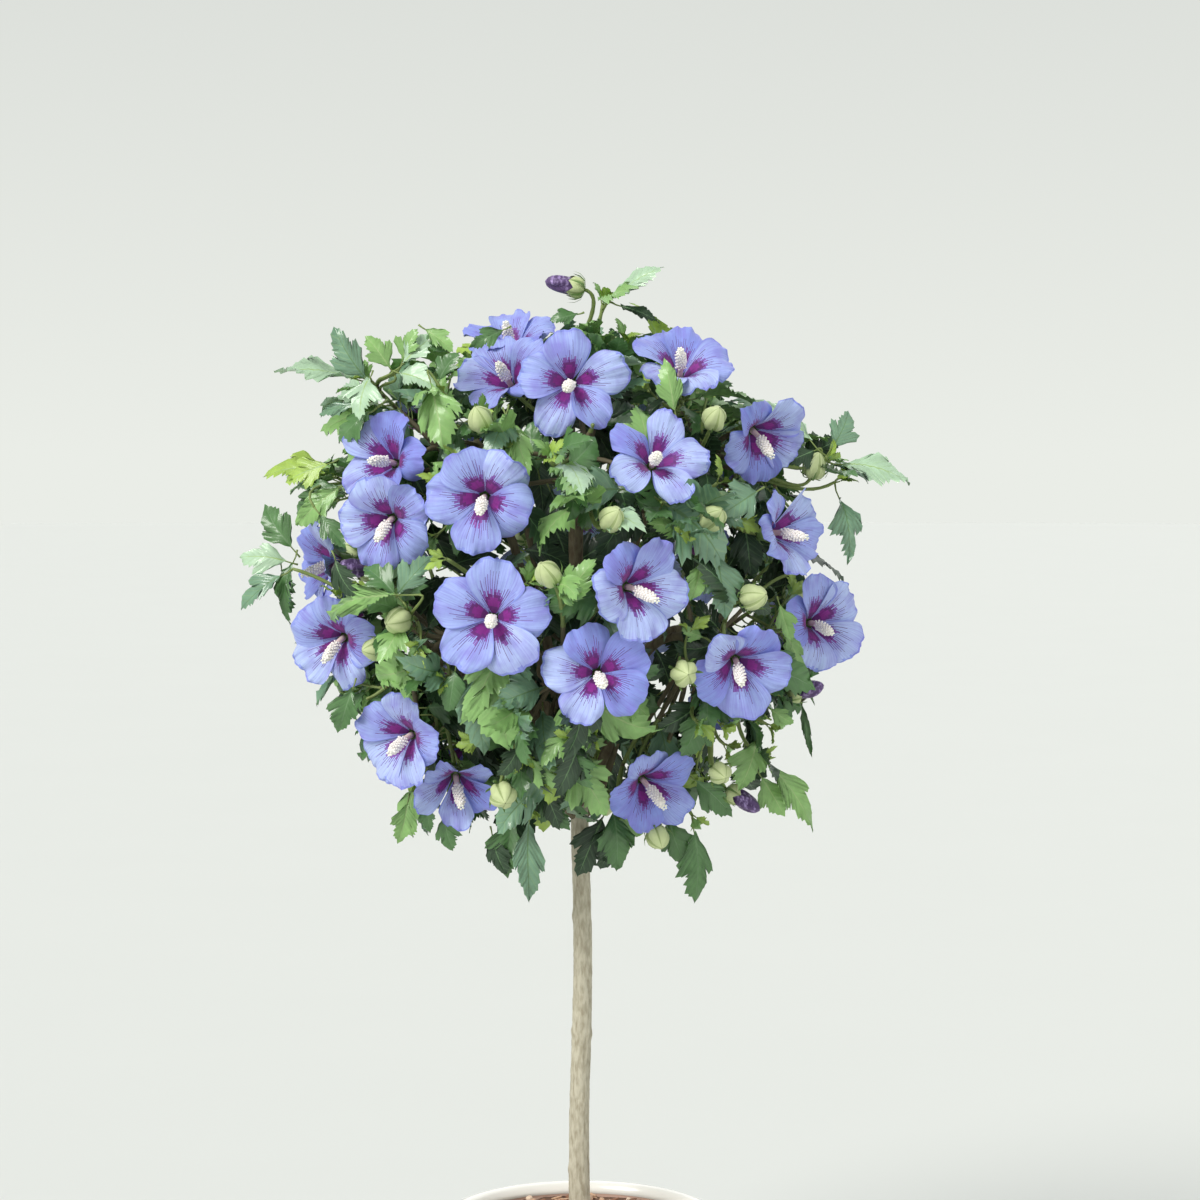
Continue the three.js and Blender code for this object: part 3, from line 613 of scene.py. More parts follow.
def unit(vector):
    return vector / math.sqrt(vector.dot(vector))


def direction(azimuth, elevation):
    turn, rise = math.radians(azimuth), math.radians(elevation)
    return np.array((
        math.sin(turn) * math.cos(rise),
        -math.cos(turn) * math.cos(rise),
        math.sin(rise),
    ))


def even_directions(count):
    """Directions spread evenly all round, from the top down."""
    heights = [1 - (2 * index + 1) / count for index in range(count)]
    return [
        direction(index * DIVERGENCE, math.degrees(math.asin(height)))
        for index, height in enumerate(heights)
    ]


def blend(*weighted):
    """A sum of vectors, each with its weight, at length 1."""
    return unit(sum(vector * weight for vector, weight in weighted))


def across(axis, candidate):
    """The part of a vector that lies across an axis, at length 1."""
    return unit(candidate - axis * candidate.dot(axis))


def spoke_at(side, other, angle):
    """The spoke that stands at an angle between two others at right angles."""
    return side * math.cos(angle) + other * math.sin(angle)


def spokes_round(side, other, count):
    """Spokes spread evenly all round, from side by way of other."""
    angles = np.arange(count) * (2 * math.pi / count)
    return np.outer(np.cos(angles), side) + np.outer(np.sin(angles), other)


def angle_between(one, other):
    return math.degrees(math.acos(max(-1.0, min(1.0, one.dot(other)))))


RANDOM_MODULUS = 2**31 - 1
RANDOM_MULTIPLIER = 48271


def seeded_random(seed):
    """Park-Miller draws between 0 and 1, with a row of its own for each seed."""
    state = (seed * 7919 + 12345) % RANDOM_MODULUS

    def draw():
        nonlocal state
        state = state * RANDOM_MULTIPLIER % RANDOM_MODULUS
        return state / RANDOM_MODULUS

    draw()
    draw()
    return draw


class Arc:
    """A curve that leaves one point along a heading and comes in to another along its own."""

    def __init__(self, start, leaving, end, arriving):
        span = math.dist(start, end)
        self.corners = np.array((
            start,
            start + leaving * (CURVE_HANDLE * span),
            end - arriving * (CURVE_HANDLE * span),
            end,
        ))

    def point(self, share):
        rest = 1 - share
        weights = (rest**3, 3 * rest**2 * share, 3 * rest * share**2, share**3)
        return np.array(weights) @ self.corners

    def tangent(self, share):
        rest = 1 - share
        sides = np.diff(self.corners, axis=0)
        return unit(np.array((rest**2, 2 * rest * share, share**2)) @ sides)

    def points(self, steps):
        return np.array([self.point(step / steps) for step in range(steps + 1)])


# ---- Joined meshes ----


def add_object(name, data):
    added = bpy.data.objects.new(name, data)
    bpy.context.scene.collection.objects.link(added)
    return added


class Batch:
    """Points and faces of many like things, which become one piece."""

    def __init__(self):
        self.points, self.faces, self.finishes, self.places = [], [], [], []
        self.count = 0

    def add(self, points, faces, finish=0, places=None):
        """finish is the number of a material, for all the faces or one for each, and places are
        the points' places on their own leaf or petal."""
        self.points.append(points.reshape(-1, 3))
        self.faces.append(faces + self.count)
        self.finishes.append(np.broadcast_to(finish, len(faces)))
        self.count += len(self.points[-1])
        if places is not None:
            self.places.append(places.reshape(-1, 2))

    def piece(self, name, materials, slot, replaced):
        """Makes the piece in metres, on the plant's one body, in place of its solids."""
        mesh = bpy.data.meshes.new(name)
        faces = np.concatenate(self.faces).tolist()
        faces = [corners[:3] if corners[2] == corners[3] else corners for corners in faces]
        mesh.from_pydata((np.concatenate(self.points) * MM).tolist(), [], faces)
        mesh.polygons.foreach_set("material_index", np.concatenate(self.finishes).astype(np.int32))
        mesh.polygons.foreach_set("use_smooth", np.ones(len(faces), bool))
        if self.places:
            corners = np.empty(len(mesh.loops), np.int32)
            mesh.loops.foreach_get("vertex_index", corners)
            places = np.concatenate(self.places).astype(np.float32)[corners]
            mesh.uv_layers.new(name="place").data.foreach_set("uv", places.ravel())
        for material in materials:
            mesh.materials.append(material)
        mesh.update()
        piece = add_object(name, mesh)
        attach(piece, "root")
        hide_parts(*replaced)


def grid_faces(rows, columns, closed=False):
    """Faces between the rows of a grid of points. A closed grid's last column joins its first."""
    row, column = np.mgrid[0 : rows - 1, 0 : columns - (not closed)]
    ahead = (column + 1) % columns
    corners = (row * columns + column, row * columns + ahead)
    corners += ((row + 1) * columns + ahead, (row + 1) * columns + column)
    return np.stack(corners, -1).reshape(-1, 4)


def fan_faces(first, count, flip=False):
    """Triangles that close a ring of points, as faces whose last two corners are one."""
    inner = np.arange(1, count - 1)
    middle, last = (inner + 1, inner) if flip else (inner, inner + 1)
    return first + np.stack((np.zeros_like(inner), middle, last, last), -1)


def closed_faces(rings, sides):
    """Faces round a stack of rings of points, closed at both ends."""
    return np.concatenate((
        grid_faces(rings, sides, closed=True),
        fan_faces(0, sides, flip=True),
        fan_faces((rings - 1) * sides, sides),
    ))


def tube(centres, radii, sides):
    """A closed round tube along a line. radii has one number for each ring, or for each point."""
    along = np.gradient(centres, axis=0)
    radii = np.broadcast_to(np.reshape(radii, (len(centres), -1)), (len(centres), sides))
    side = SKEW
    rings = []
    for centre, heading, radius in zip(centres, along, radii):
        heading = unit(heading)
        side = across(heading, side)
        spokes = spokes_round(side, np.cross(heading, side), sides)
        rings.append(centre + spokes * radius[:, None])
    return np.concatenate(rings), closed_faces(len(centres), sides)


def lathe(profile, segments):
    """A body turned about the vertical axis: radius and height pairs from the foot to the top."""
    radii, heights = np.array(profile, float).T
    angles = np.arange(segments) * (2 * math.pi / segments)
    points = np.stack((
        np.outer(radii, np.cos(angles)),
        np.outer(radii, np.sin(angles)),
        np.repeat(heights[:, None], segments, 1),
    ), -1)
    return points, grid_faces(len(radii), segments, closed=True)


# ---- Limbs and masses ----


def trunk_axis(height):
    phase = 2 * math.pi * (height - TRUNK_SWAY_START) / TRUNK_SWAY_LENGTH
    return np.array((TRUNK_SWAY * math.sin(phase), TRUNK_SWAY * math.cos(phase), height))


def trunk_radius(height):
    risen = height - SOIL_TOP
    taper = mix(TRUNK_RADIUS_LOW, TRUNK_RADIUS_HIGH, risen / (TRUNK_TOP - SOIL_TOP))
    return taper + ROOT_FLARE * math.exp(-risen / ROOT_FLARE_HEIGHT)


@dataclass(eq=False)
class Mass:
    """A part of the crown that keeps to its own space, with its bough and its stem."""

    name: str
    facing: np.ndarray
    bough: Arc
    stem: Arc


def make_masses():
    masses = []
    for name, count, elevation, azimuth, reach, foot_height, rise in CROWN_RINGS:
        for index in range(count):
            facing = direction(azimuth + 360 / count * index, elevation)
            foot = trunk_axis(foot_height + rise * (2 * index % count))
            tip = CROWN_CENTRE + facing * (reach * CROWN_RADIUS)
            chord = unit(tip - foot)
            leaving = blend((chord, 1), (facing * (1, 1, 0), BOUGH_SPREAD))
            heading = blend((facing, 1), (chord, BOUGH_STRAIGHTNESS))
            stem_tip = CROWN_CENTRE + facing * (STEM_REACH * CROWN_RADIUS)
            own_name = f"{name}_{index + 1}" if count > 1 else name
            bough = Arc(foot, leaving, tip, heading)
            masses.append(Mass(own_name, facing, bough, Arc(tip, heading, stem_tip, facing)))
    return masses


# ---- What the twigs of the crown lead to ----


@dataclass(eq=False)
class Target:
    """What a twig leads to: a flower, a bud or the end of a leafy shoot."""

    kind: str
    facing: np.ndarray
    heading: np.ndarray
    end: np.ndarray
    number: int
    centre: np.ndarray = None
    petals: tuple = (0, 0, 20, 41)
    long_leaf: tuple = None
    furled: bool = False


def from_centre(point):
    return unit(point - CROWN_CENTRE)


def bloom_target(centre, heading, number, petals):
    """petals holds their turn, how far they stand up, half their width and their reach."""
    end = centre - heading * BLOOM_FOOT
    return Target("bloom", from_centre(end), heading, end, number, centre, petals)


def shoot_target(end, kind, number, heading=None, **more):
    facing = from_centre(end)
    if heading is None:
        heading = blend((facing, 1), (UP, SHOOT_LIFT))
    return Target(kind, facing, heading, end, number, **more)


def make_targets():
    targets = []

    def add_listed(blooms):
        for x, y, z, azimuth, elevation, *petals in blooms:
            centre = np.array((x, y, z), float)
            heading = direction(azimuth, elevation)
            targets.append(bloom_target(centre, heading, len(targets), petals))

    add_listed(FRONT_BLOOMS)
    for index, (*end, azimuth, elevation) in enumerate(BUD_SHOOTS):
        heading, furled = direction(azimuth, elevation), index in FURLED_BUDS
        end = np.array(end, float)
        targets.append(shoot_target(end, "bud", len(targets), heading, furled=furled))
    for x, y, z, *long_leaf in FREE_SHOOTS:
        end = np.array((x, y, z), float)
        targets.append(shoot_target(end, "shoot", len(targets), long_leaf=long_leaf))

    def apart(facing, least):
        return all(angle_between(target.facing, facing) > least for target in targets)

    lowest = math.sin(math.radians(LOWEST_BLOOM))
    for facing in even_directions(SPREAD_BLOOMS):
        if facing[1] > BACK_FROM and facing[2] > lowest and apart(facing, BLOOM_SPACING):
            centre = CROWN_CENTRE + facing * BLOOM_REACH
            heading = blend((facing, 1), (UP, BLOOM_LIFT))
            draw = seeded_random(len(targets))
            width = mix(*PETAL_HALF_WIDTHS, draw())
            petals = 0, MOST_STANDING * draw(), width, BLOOM_RADIUS
            targets.append(bloom_target(centre, heading, len(targets), petals))
    for index, facing in enumerate(even_directions(SPREAD_SHOOTS)):
        draw = seeded_random(SHOOT_SEEDS_FROM + index)
        reach = CROWN_RADIUS * mix(SHOOT_REACH_LEAST, SHOOT_REACH_MOST, draw())
        kind = "bud" if draw() < BUD_SHARE else "shoot"
        furled = kind == "bud" and draw() < FURLED_SHARE
        end = CROWN_CENTRE + facing * reach
        if math.hypot(end[0], end[1]) > SHOOT_FROM_TRUNK and apart(facing, SHOOT_SPACING):
            targets.append(shoot_target(end, kind, len(targets), furled=furled))
    add_listed(HIDDEN_BLOOMS)
    return targets


# ---- Room in the crown ----


class Room:
    """Tells which places in the crown are free for a twig or a leaf of a mass."""

    def __init__(self, masses, targets):
        self.facings = np.array([mass.facing for mass in masses])
        self.blooms = [target for target in targets if target.kind == "bloom"]
        self.centres = np.array([bloom.centre for bloom in self.blooms])
        self.headings = np.array([bloom.heading for bloom in self.blooms])
        self.headings[TURNED_BLOOM] = direction(*TURNED_WAY)
        self.bloom_owners = [self.owner(bloom.facing) for bloom in self.blooms]
        starts, ends, radii = [], [], []
        rise = (TRUNK_TOP - SOIL_TOP) / TRUNK_STEPS
        for step in range(TRUNK_STEPS):
            foot = SOIL_TOP + step * rise
            starts.append(trunk_axis(foot))
            ends.append(trunk_axis(foot + rise))
            radii.append(trunk_radius(foot))
        for mass in masses:
            points = mass.bough.points(BOUGH_STEPS)
            for step in range(BOUGH_STEPS):
                starts.append(points[step])
                ends.append(points[step + 1])
                radii.append(mix(BOUGH_BASE_RADIUS, BOUGH_TIP_RADIUS, step / BOUGH_STEPS))
        self.starts = np.array(starts)
        self.spans = np.array(ends) - self.starts
        self.radii = np.array(radii)

    def owner(self, facing):
        return int(np.argmax(self.facings @ facing))

    def out_of_sight_lines(self, points, behind=0.0):
        """Whether points keep out of the openings and of the view of the flowers' faces, down to
        the share behind of the way to them."""
        away = points - SEEN_FROM
        passing = SEEN_FROM - away * (SEEN_FROM[1] / away[:, 1:2])
        openings = np.array(OPENINGS, float)
        apart = np.hypot(passing[:, :1] - openings[:, 0], passing[:, 2:] - openings[:, 1])
        if (apart < openings[:, 2]).any():
            return False
        faces = self.centres[: len(FRONT_BLOOMS)] - SEEN_FROM
        share = away[:, 1:2] / faces[:, 1]
        passing = away[:, None] / share[..., None] - faces
        apart = np.hypot(passing[..., 0], passing[..., 2])
        return not ((share < 1 + behind) & (apart < FACE_RADIUS)).any()

    def in_space(self, points, own):
        spokes = (points - CROWN_CENTRE) @ self.facings.T
        apart = np.linalg.norm(self.facings[own] - self.facings, axis=1)
        lead = spokes[:, own, None] - spokes - SPACE_MARGIN * apart
        lead[:, own] = 1
        return bool((lead > 0).all())

    def clear_of_limbs(self, points, margin):
        away = points[:, None] - self.starts
        share = (away * self.spans).sum(-1) / (self.spans**2).sum(-1)
        nearest = away - np.clip(share, 0, 1)[..., None] * self.spans
        return bool((np.linalg.norm(nearest, axis=-1) > self.radii + margin).all())

    def fits(self, points, own, margin, leaf):
        """Whether points keep to their mass's space, and clear of the limbs and flowers."""
        return (
            self.in_space(points, own)
            and self.clear_of_limbs(points, margin)
            and self.clear_of_blooms(points, own, leaf)
        )

    def clear_of_blooms(self, points, own, leaf):
        """A mass keeps out of the whole space of its neighbours' flowers, and its leaves keep out
        of the throat and the front of every flower."""
        spokes = points[:, None] - self.centres
        distance = np.linalg.norm(spokes, axis=-1)
        foreign = np.array([owner != own for owner in self.bloom_owners])
        if (foreign & (distance < BLOOM_RADIUS + BLOOM_MARGIN)).any():
            return False
        if not leaf:
            return True
        ahead = (spokes * self.headings).sum(-1)
        aside = np.sqrt(np.maximum(distance**2 - ahead**2, 0))
        near = (ahead > -BLOOM_BACK_ROOM) & (ahead < BLOOM_RADIUS)
        in_front = near & (aside < BLOOM_RADIUS + BLOOM_MARGIN)
        in_throat = near | (ahead < 0) & (ahead > -THROAT_BACK_ROOM)
        return not (in_front | in_throat & (aside < THROAT_RADIUS)).any()


# ---- Twigs and leaves ----


@dataclass(eq=False)
class Twig:
    """A twig with its target, or a side twig with none."""

    kind: str
    curve: Arc
    seed: int
    target: Target = None


@dataclass(eq=False)
class Leaf:
    """A leaf with its stalk, from where it leaves its twig."""

    root: np.ndarray
    axis: np.ndarray
    normal: np.ndarray
    length: float
    width: float = 1
    lobing: float = 1
    twist: float = 0.9
    seed: int = 0
    finish: int = None


def leaf_at(kind, curve, share, turn, draws, sizes):
    """Under a flower the leaves spread aside, and on a leafy shoot they reach outward."""
    droop, tilt, size = draws
    root = curve.point(share)
    along = curve.tangent(share)
    side = across(along, SKEW)
    outward = from_centre(root)
    angle = math.radians(turn)
    leafy = 0 if kind == "bloom" else 1
    axis = blend(
        (along, leafy * mix(LEAF_ALONG_LOW, LEAF_ALONG_HIGH, share)),
        (side, LEAF_ASIDE * math.cos(angle)),
        (np.cross(along, side), LEAF_ASIDE * math.sin(angle)),
        (outward, leafy * LEAF_OUTWARD),
        (UP, -LEAF_DROOP * droop),
    )
    normal = across(axis, blend((outward, 0.9), (UP, 0.55), (side, tilt - 0.5)))
    return Leaf(root, axis, normal, mix(*sizes, size))


def leaf_between(root, tip, normal, width, lobing, finish, seed):
    axis = unit(tip - root)
    normal = across(axis, normal)
    return Leaf(root, axis, normal, math.dist(root, tip), width, lobing, 0.3, seed, finish)


def long_leaf_of(target):
    *tip, width, lobing, finish = target.long_leaf
    normal = blend((target.facing, 0.6), (UP, 0.5), (FRONT, 0.8))
    return leaf_between(target.end, np.array(tip), normal, width, lobing, finish, target.number)


def placed_leaves_of(own, twigs, room):
    """The leaves that stand out by themselves, and the thin twigs that lead to them."""
    leaves, leading = [], []
    lines = [twig.curve.points(JOIN_STEPS)[FIRST_JOIN : LAST_JOIN + 1] for twig in twigs]
    for number, (x, y, z, *tip, width, lobing, finish) in enumerate(PLACED_LEAVES):
        foot, tip = np.array((x, y, z), float), np.array(tip, float)
        if room.owner(from_centre(foot)) != own:
            continue
        draw = seeded_random(PLACED_SEEDS + number)
        root = foot - (tip - foot) * (PETIOLE_SHARE / (1 - PETIOLE_SHARE))
        facing = from_centre(foot)
        normal = blend((FRONT, 1), (UP, 0.5 * draw()), (facing, 0.4), (SIDE, 0.7 * draw() - 0.35))
        leaf = leaf_between(root, tip, normal, width, lobing, finish, number)
        _, step, line = min(
            (math.dist(point, root), step, line)
            for line, points in enumerate(lines)
            for step, point in enumerate(points)
        )
        twig, share = twigs[line], (step + FIRST_JOIN) / JOIN_STEPS
        start = twig.curve.point(share)
        leaving = blend((twig.curve.tangent(share), 1), (unit(root - start), 1))
        curve = Arc(start, leaving, root, leaf.axis)
        if room.out_of_sight_lines(curve.points(TESTED_STEPS), behind=0.02):
            leading.append(Twig("leading", curve, number))
        leaves.append(leaf)
    return leaves, leading


def leaf_sample(leaf):
    """Points spread over a leaf from a quarter of the way along: its rib, its edges and between."""
    side = np.cross(leaf.normal, leaf.axis)
    middle = leaf.axis * LEAF_WIDEST + leaf.normal * LEAF_ARCH
    left = middle + side * LEAF_HALF_WIDTH
    right = middle - side * LEAF_HALF_WIDTH
    tip = leaf.axis - leaf.normal * LEAF_TIP_DROOP
    points = [tip, left, right, middle, 0.5 * middle, 0.5 * (middle + tip)]
    for edge in (left, right):
        points += [0.5 * (middle + edge), 0.6 * edge, mix(tip, edge, 0.35), mix(tip, edge, 0.7)]
    return leaf.root + leaf.length * np.array(points)


def twig_sample(twig):
    """Points spread over a twig and the back of its flower."""
    points = list(twig.curve.points(SAMPLED_STEPS))
    if twig.kind == "bloom":
        target = twig.target
        side = across(target.heading, UP + SKEW)
        other = np.cross(target.heading, side)
        for share in (1, 0.7, 0.4):
            depth = BLOOM_DEPTH * 0.7 * (share - 1)
            for step in range(round(SAMPLED_SPOKES * share)):
                angle = math.radians(360 / SAMPLED_SPOKES * step / share)
                spoke = spoke_at(side, other, angle) * (share * BLOOM_RADIUS)
                points.append(target.centre + spoke + target.heading * depth)
    return np.array(points)


def twigs_of(mass, own, targets, room):
    """The twigs leave their stem one above the other, those that lead furthest aside first."""
    led = [target for target in targets if room.owner(target.facing) == own]
    led.sort(key=lambda target: -angle_between(mass.facing, target.facing))
    twigs = []
    for rank, target in enumerate(led):
        share = mix(FIRST_TWIG, 1, rank / max(len(led) - 1, 1))
        start = mass.stem.point(share)
        leaving = blend((mass.stem.tangent(share), TWIG_TURN), (unit(target.end - start), 1))
        curve = Arc(start, leaving, target.end, target.heading)
        if room.fits(curve.points(TESTED_STEPS)[1:], own, TWIG_MARGIN, leaf=False):
            twigs.append(Twig(target.kind, curve, target.number, target))
    return twigs


def turn_to_light(twig):
    """Turns a flower with the end of its twig."""
    target = twig.target
    target.heading = direction(*TURNED_WAY)
    target.end = target.centre - target.heading * BLOOM_FOOT
    leaving = twig.curve.tangent(0)
    twig.curve = Arc(twig.curve.point(0), leaving, target.end, target.heading)


def side_twigs_of(twig, own, room):
    """Finer twigs, which leave a twig at some of its nodes and bend outward."""
    found = []
    draw = seeded_random(SIDE_TURN_SEEDS + twig.seed)
    first_turn = 360 * draw()
    for node in SIDE_TWIG_NODES:
        share = mix(FIRST_NODE, 1, node / TIP_NODE)
        start, along = twig.curve.point(share), twig.curve.tangent(share)
        side = across(along, SKEW)
        turn = math.radians(first_turn + node * DIVERGENCE)
        aside = spoke_at(side, np.cross(along, side), turn)
        heading = blend((aside, 1), (from_centre(start), 0.9), (UP, 0.15))
        leaving = blend((aside, 1), (along, 0.8))
        length = mix(SIDE_TWIG_SHORTEST, SIDE_TWIG_LONGEST, draw())
        end = start + blend((leaving, 1), (heading, 1)) * length
        curve = Arc(start, leaving, end, heading)
        points = curve.points(TESTED_SIDE_STEPS)[1:]
        inside = math.dist(end, CROWN_CENTRE) < SHOOT_REACH_MOST * CROWN_RADIUS
        if inside and room.fits(points, own, TWIG_MARGIN, leaf=True):
            found.append(Twig("side", curve, SIDE_TWIG_SEEDS + 10 * twig.seed + node))
    return found


class Taken:
    """Points that are taken by twigs, flowers and leaves, with the twig that each belongs to."""

    def __init__(self, twigs):
        samples = [twig_sample(twig) for twig in twigs]
        self.points = np.concatenate(samples)
        self.twigs = np.repeat(np.arange(len(twigs)), [len(sample) for sample in samples])

    def free(self, points, twig, room):
        away = self.points[self.twigs != twig]
        if len(away) == 0:
            return True
        squares = (points**2).sum(1)[:, None] + (away**2).sum(1) - 2 * points @ away.T
        return bool((squares > room**2).all())

    def add(self, points):
        self.points = np.concatenate((self.points, points))
        self.twigs = np.concatenate((self.twigs, np.full(len(points), -1)))


def within(points, least, most):
    """Whether all the points lie between two distances from the crown's middle."""
    reach = np.linalg.norm(points - CROWN_CENTRE, axis=1)
    return bool(((reach > least) & (reach < most)).all())


def leaves_of(twig, number, own, room, taken, settings):
    """A leaf that doesn't fit tries a smaller size, turned further round its twig, and else is
    skipped. Its points join those that are taken."""
    draw = seeded_random(twig.seed)
    first_turn = 360 * draw()
    nodes = settings.nodes
    sizes = (settings.shortest / MM, settings.longest / MM)
    if twig.kind == "side":
        nodes = SIDE_LEAF_NODES
        sizes = (SIDE_LEAF_SHORTEST, SIDE_LEAF_LONGEST)
    last_node = LAST_NODE_UNDER_BLOOM if twig.kind == "bloom" else 1
    leaves, reach = [], LEAF_REACH
    if twig.target and twig.target.long_leaf:
        leaves.append(long_leaf_of(twig.target))
        taken.add(leaf_sample(leaves[0]))
        reach = FREE_LEAF_REACH
    for node in range(nodes):
        draws = (draw(), draw(), draw())
        share = mix(FIRST_NODE, last_node, node / (nodes - 1))
        for attempt, shrink in enumerate(LEAF_TRIES):
            turn = first_turn + node * DIVERGENCE + attempt * TRY_TURN
            leaf = leaf_at(twig.kind, twig.curve, share, turn, draws, sizes)
            leaf.length *= shrink
            points = leaf_sample(leaf)
            if (
                within(points, CORE_RADIUS, reach)
                and room.fits(points, own, LIMB_MARGIN, leaf=True)
                and room.out_of_sight_lines(points)
                and taken.free(points, number, LEAF_ROOM)
            ):
                leaves.append(leaf)
                taken.add(points)
                break
    return leaves


def tuft_of(twig, own, room):
    """Small young leaves round the tip of a growing shoot."""
    draw = seeded_random(TUFT_SEEDS + twig.seed)
    end, heading = twig.curve.point(1), twig.curve.tangent(1)
    side = across(heading, SKEW)
    first_turn = 360 * draw()
    leaves = []
    for index in range(TUFT_LEAVES):
        turn = math.radians(first_turn + index * DIVERGENCE)
        aside = spoke_at(side, np.cross(heading, side), turn)
        axis = blend((heading, 1), (aside, mix(0.3, 0.9, draw())))
        normal = across(axis, blend((heading, 1), (aside, -1)))
        leaf = Leaf(end, axis, normal, TUFT_LEAF_LENGTH * mix(0.6, 1.15, draw()))
        if room.clear_of_blooms(leaf_sample(leaf), own, leaf=True):
            leaves.append(leaf)
    return leaves


def dress(leaf, share, draw):
    """Gives a leaf its form and its tint: deep with painted shade inside the crown, pale or light
    with painted light where the light falls on it, some with a painted bluish sheen, and young near
    the tips. share is how far along a long twig it grows."""
    spoke = (leaf.root + leaf.axis * leaf.length * 0.6 - CROWN_CENTRE) / CROWN_RADIUS
    reach, lit = math.sqrt(spoke.dot(spoke)), spoke.dot(LIT_SIDE)
    leaf.seed = int(1e6 * draw())
    leaf.lobing = mix(0.4, 1.25, draw())
    # A leaf's draw for its tint, which the light raises on the lit side and lowers on the far side:
    # painted light and painted shade
    luck_and_light = draw() + (LIT_LUCK if lit > 0 else SHADED_LUCK) * lit
    if reach < SHADED_LEAVES_WITHIN:
        leaf.finish = DEEP_SHADE if luck_and_light < SHADED_DEEP_LUCK else MIDDLE
    elif share > YOUNG_FROM and draw() < YOUNG_SHARE:
        leaf.finish = YOUNG
    elif luck_and_light < OUTER_TINTS[-1][0]:
        leaf.finish = next(tint for most, tint in OUTER_TINTS if luck_and_light < most)
    else:
        leaf.finish = PALE_LIT if draw() < PALE_SHARE else LIT_GREEN


@dataclass(eq=False)
class Crown:
    masses: list
    twigs: list
    leaves: list


@functools.lru_cache(maxsize=1)
def grown_crown():
    """The crown, grown mass by mass, and only once for all the pieces."""
    settings = bpy.context.scene.rose_leaves
    masses, targets = make_masses(), make_targets()
    room = Room(masses, targets)
    twigs, leaves = [], []
    for own, mass in enumerate(masses):
        main = twigs_of(mass, own, targets, room)
        for twig in main:
            if twig.seed == TURNED_BLOOM:
                turn_to_light(twig)
        side = [fine for twig in main for fine in side_twigs_of(twig, own, room)]
        taken = Taken(main + side)
        placed, leading = placed_leaves_of(own, main, room)
        for leaf in placed:
            taken.add(leaf_sample(leaf))
        leaves += placed
        for number, twig in enumerate(main + side):
            draw = seeded_random(TINT_SEEDS + twig.seed)
            for leaf in leaves_of(twig, number, own, room, taken, settings):
                if leaf.finish is None:
                    dress(leaf, math.dist(leaf.root, twig.curve.point(0)) / LONG_TWIG, draw)
                leaves.append(leaf)
            if twig.kind in ("shoot", "side"):
                for leaf in tuft_of(twig, own, room):
                    dress(leaf, 1, draw)
                    # A tuft's leaf that isn't young takes the light tint, which is painted light
                    leaf.finish = YOUNG if draw() < YOUNG_TUFT_SHARE else LIT_GREEN
                    leaves.append(leaf)
        twigs += main + side + leading
    return Crown(masses, twigs, leaves)


def foliage_piece(batch, name, materials):
    """Makes a piece of the crown, in place of the solids' masses of foliage."""
    replaced = [f"foliage_{mass.name}" for mass in grown_crown().masses]
    batch.piece(name, materials, "foliage", replaced)


# ---- Finishes ----


def add_node(nodes, kind, **values):
    """Adds a shader node of a kind, with values for its sockets."""
    node = nodes.new("ShaderNode" + kind)
    for socket, value in values.items():
        node.inputs[socket.replace("_", " ")].default_value = value
    return node


def add_tint(nodes, **colours):
    """Adds a node that mixes the colours A and B."""
    tint = nodes.new("ShaderNodeMix")
    tint.data_type = "RGBA"
    for socket, colour in colours.items():
        tint.inputs[socket].default_value = (*colour, 1)
    return tint


def finish(name, colour, roughness, grain=0.0, grain_size=8.0, stretch=1.0, relief=0.0, **sockets):
    """A plain colour that a fine noise darkens and lightens by the share grain, with relief.

    grain_size is in millimetres, stretch draws the grain out along Z, and relief is the height in
    millimetres of the bumps. sockets go straight to the shader.
    """
    material = bpy.data.materials.new(name)
    material.use_nodes = True
    nodes, links = material.node_tree.nodes, material.node_tree.links
    shader = nodes["Principled BSDF"]
    colour = tuple(colour)
    shader.inputs["Base Color"].default_value = (*colour, 1)
    shader.inputs["Roughness"].default_value = roughness
    for socket, value in sockets.items():
        shader.inputs[socket.replace("_", " ")].default_value = value
    place = add_node(nodes, "TexCoord")
    scale = add_node(nodes, "Mapping", Scale=(1, 1, 1 / stretch))
    links.new(place.outputs["Object"], scale.inputs["Vector"])
    specks = add_node(nodes, "TexNoise", Scale=1 / (grain_size * MM), Detail=4)
    links.new(scale.outputs["Vector"], specks.inputs["Vector"])
    if grain:
        darker = [part * (1 - grain) for part in colour]
        lighter = [min(part * (1 + grain), 1) for part in colour]
        tint = add_tint(nodes, A=darker, B=lighter)
        links.new(specks.outputs["Fac"], tint.inputs["Factor"])
        links.new(tint.outputs["Result"], shader.inputs["Base Color"])
    if relief:
        bump = add_node(nodes, "Bump", Strength=1, Distance=relief * MM)
        links.new(specks.outputs["Fac"], bump.inputs["Height"])
        links.new(bump.outputs["Normal"], shader.inputs["Normal"])
    return material


def two_tone(material, colour, low, high):
    """Gives a material a second colour where its noise runs from low to high."""
    nodes, links = material.node_tree.nodes, material.node_tree.links
    shader = nodes["Principled BSDF"]
    specks = next(node for node in nodes if node.bl_idname == "ShaderNodeTexNoise")
    ramp = add_node(nodes, "ValToRGB")
    first, second = ramp.color_ramp.elements
    first.position, second.position = low, high
    first.color = (*colour, 1)
    second.color = shader.inputs["Base Color"].default_value[:]
    links.new(specks.outputs["Fac"], ramp.inputs["Fac"])
    links.new(ramp.outputs["Color"], shader.inputs["Base Color"])
    return material


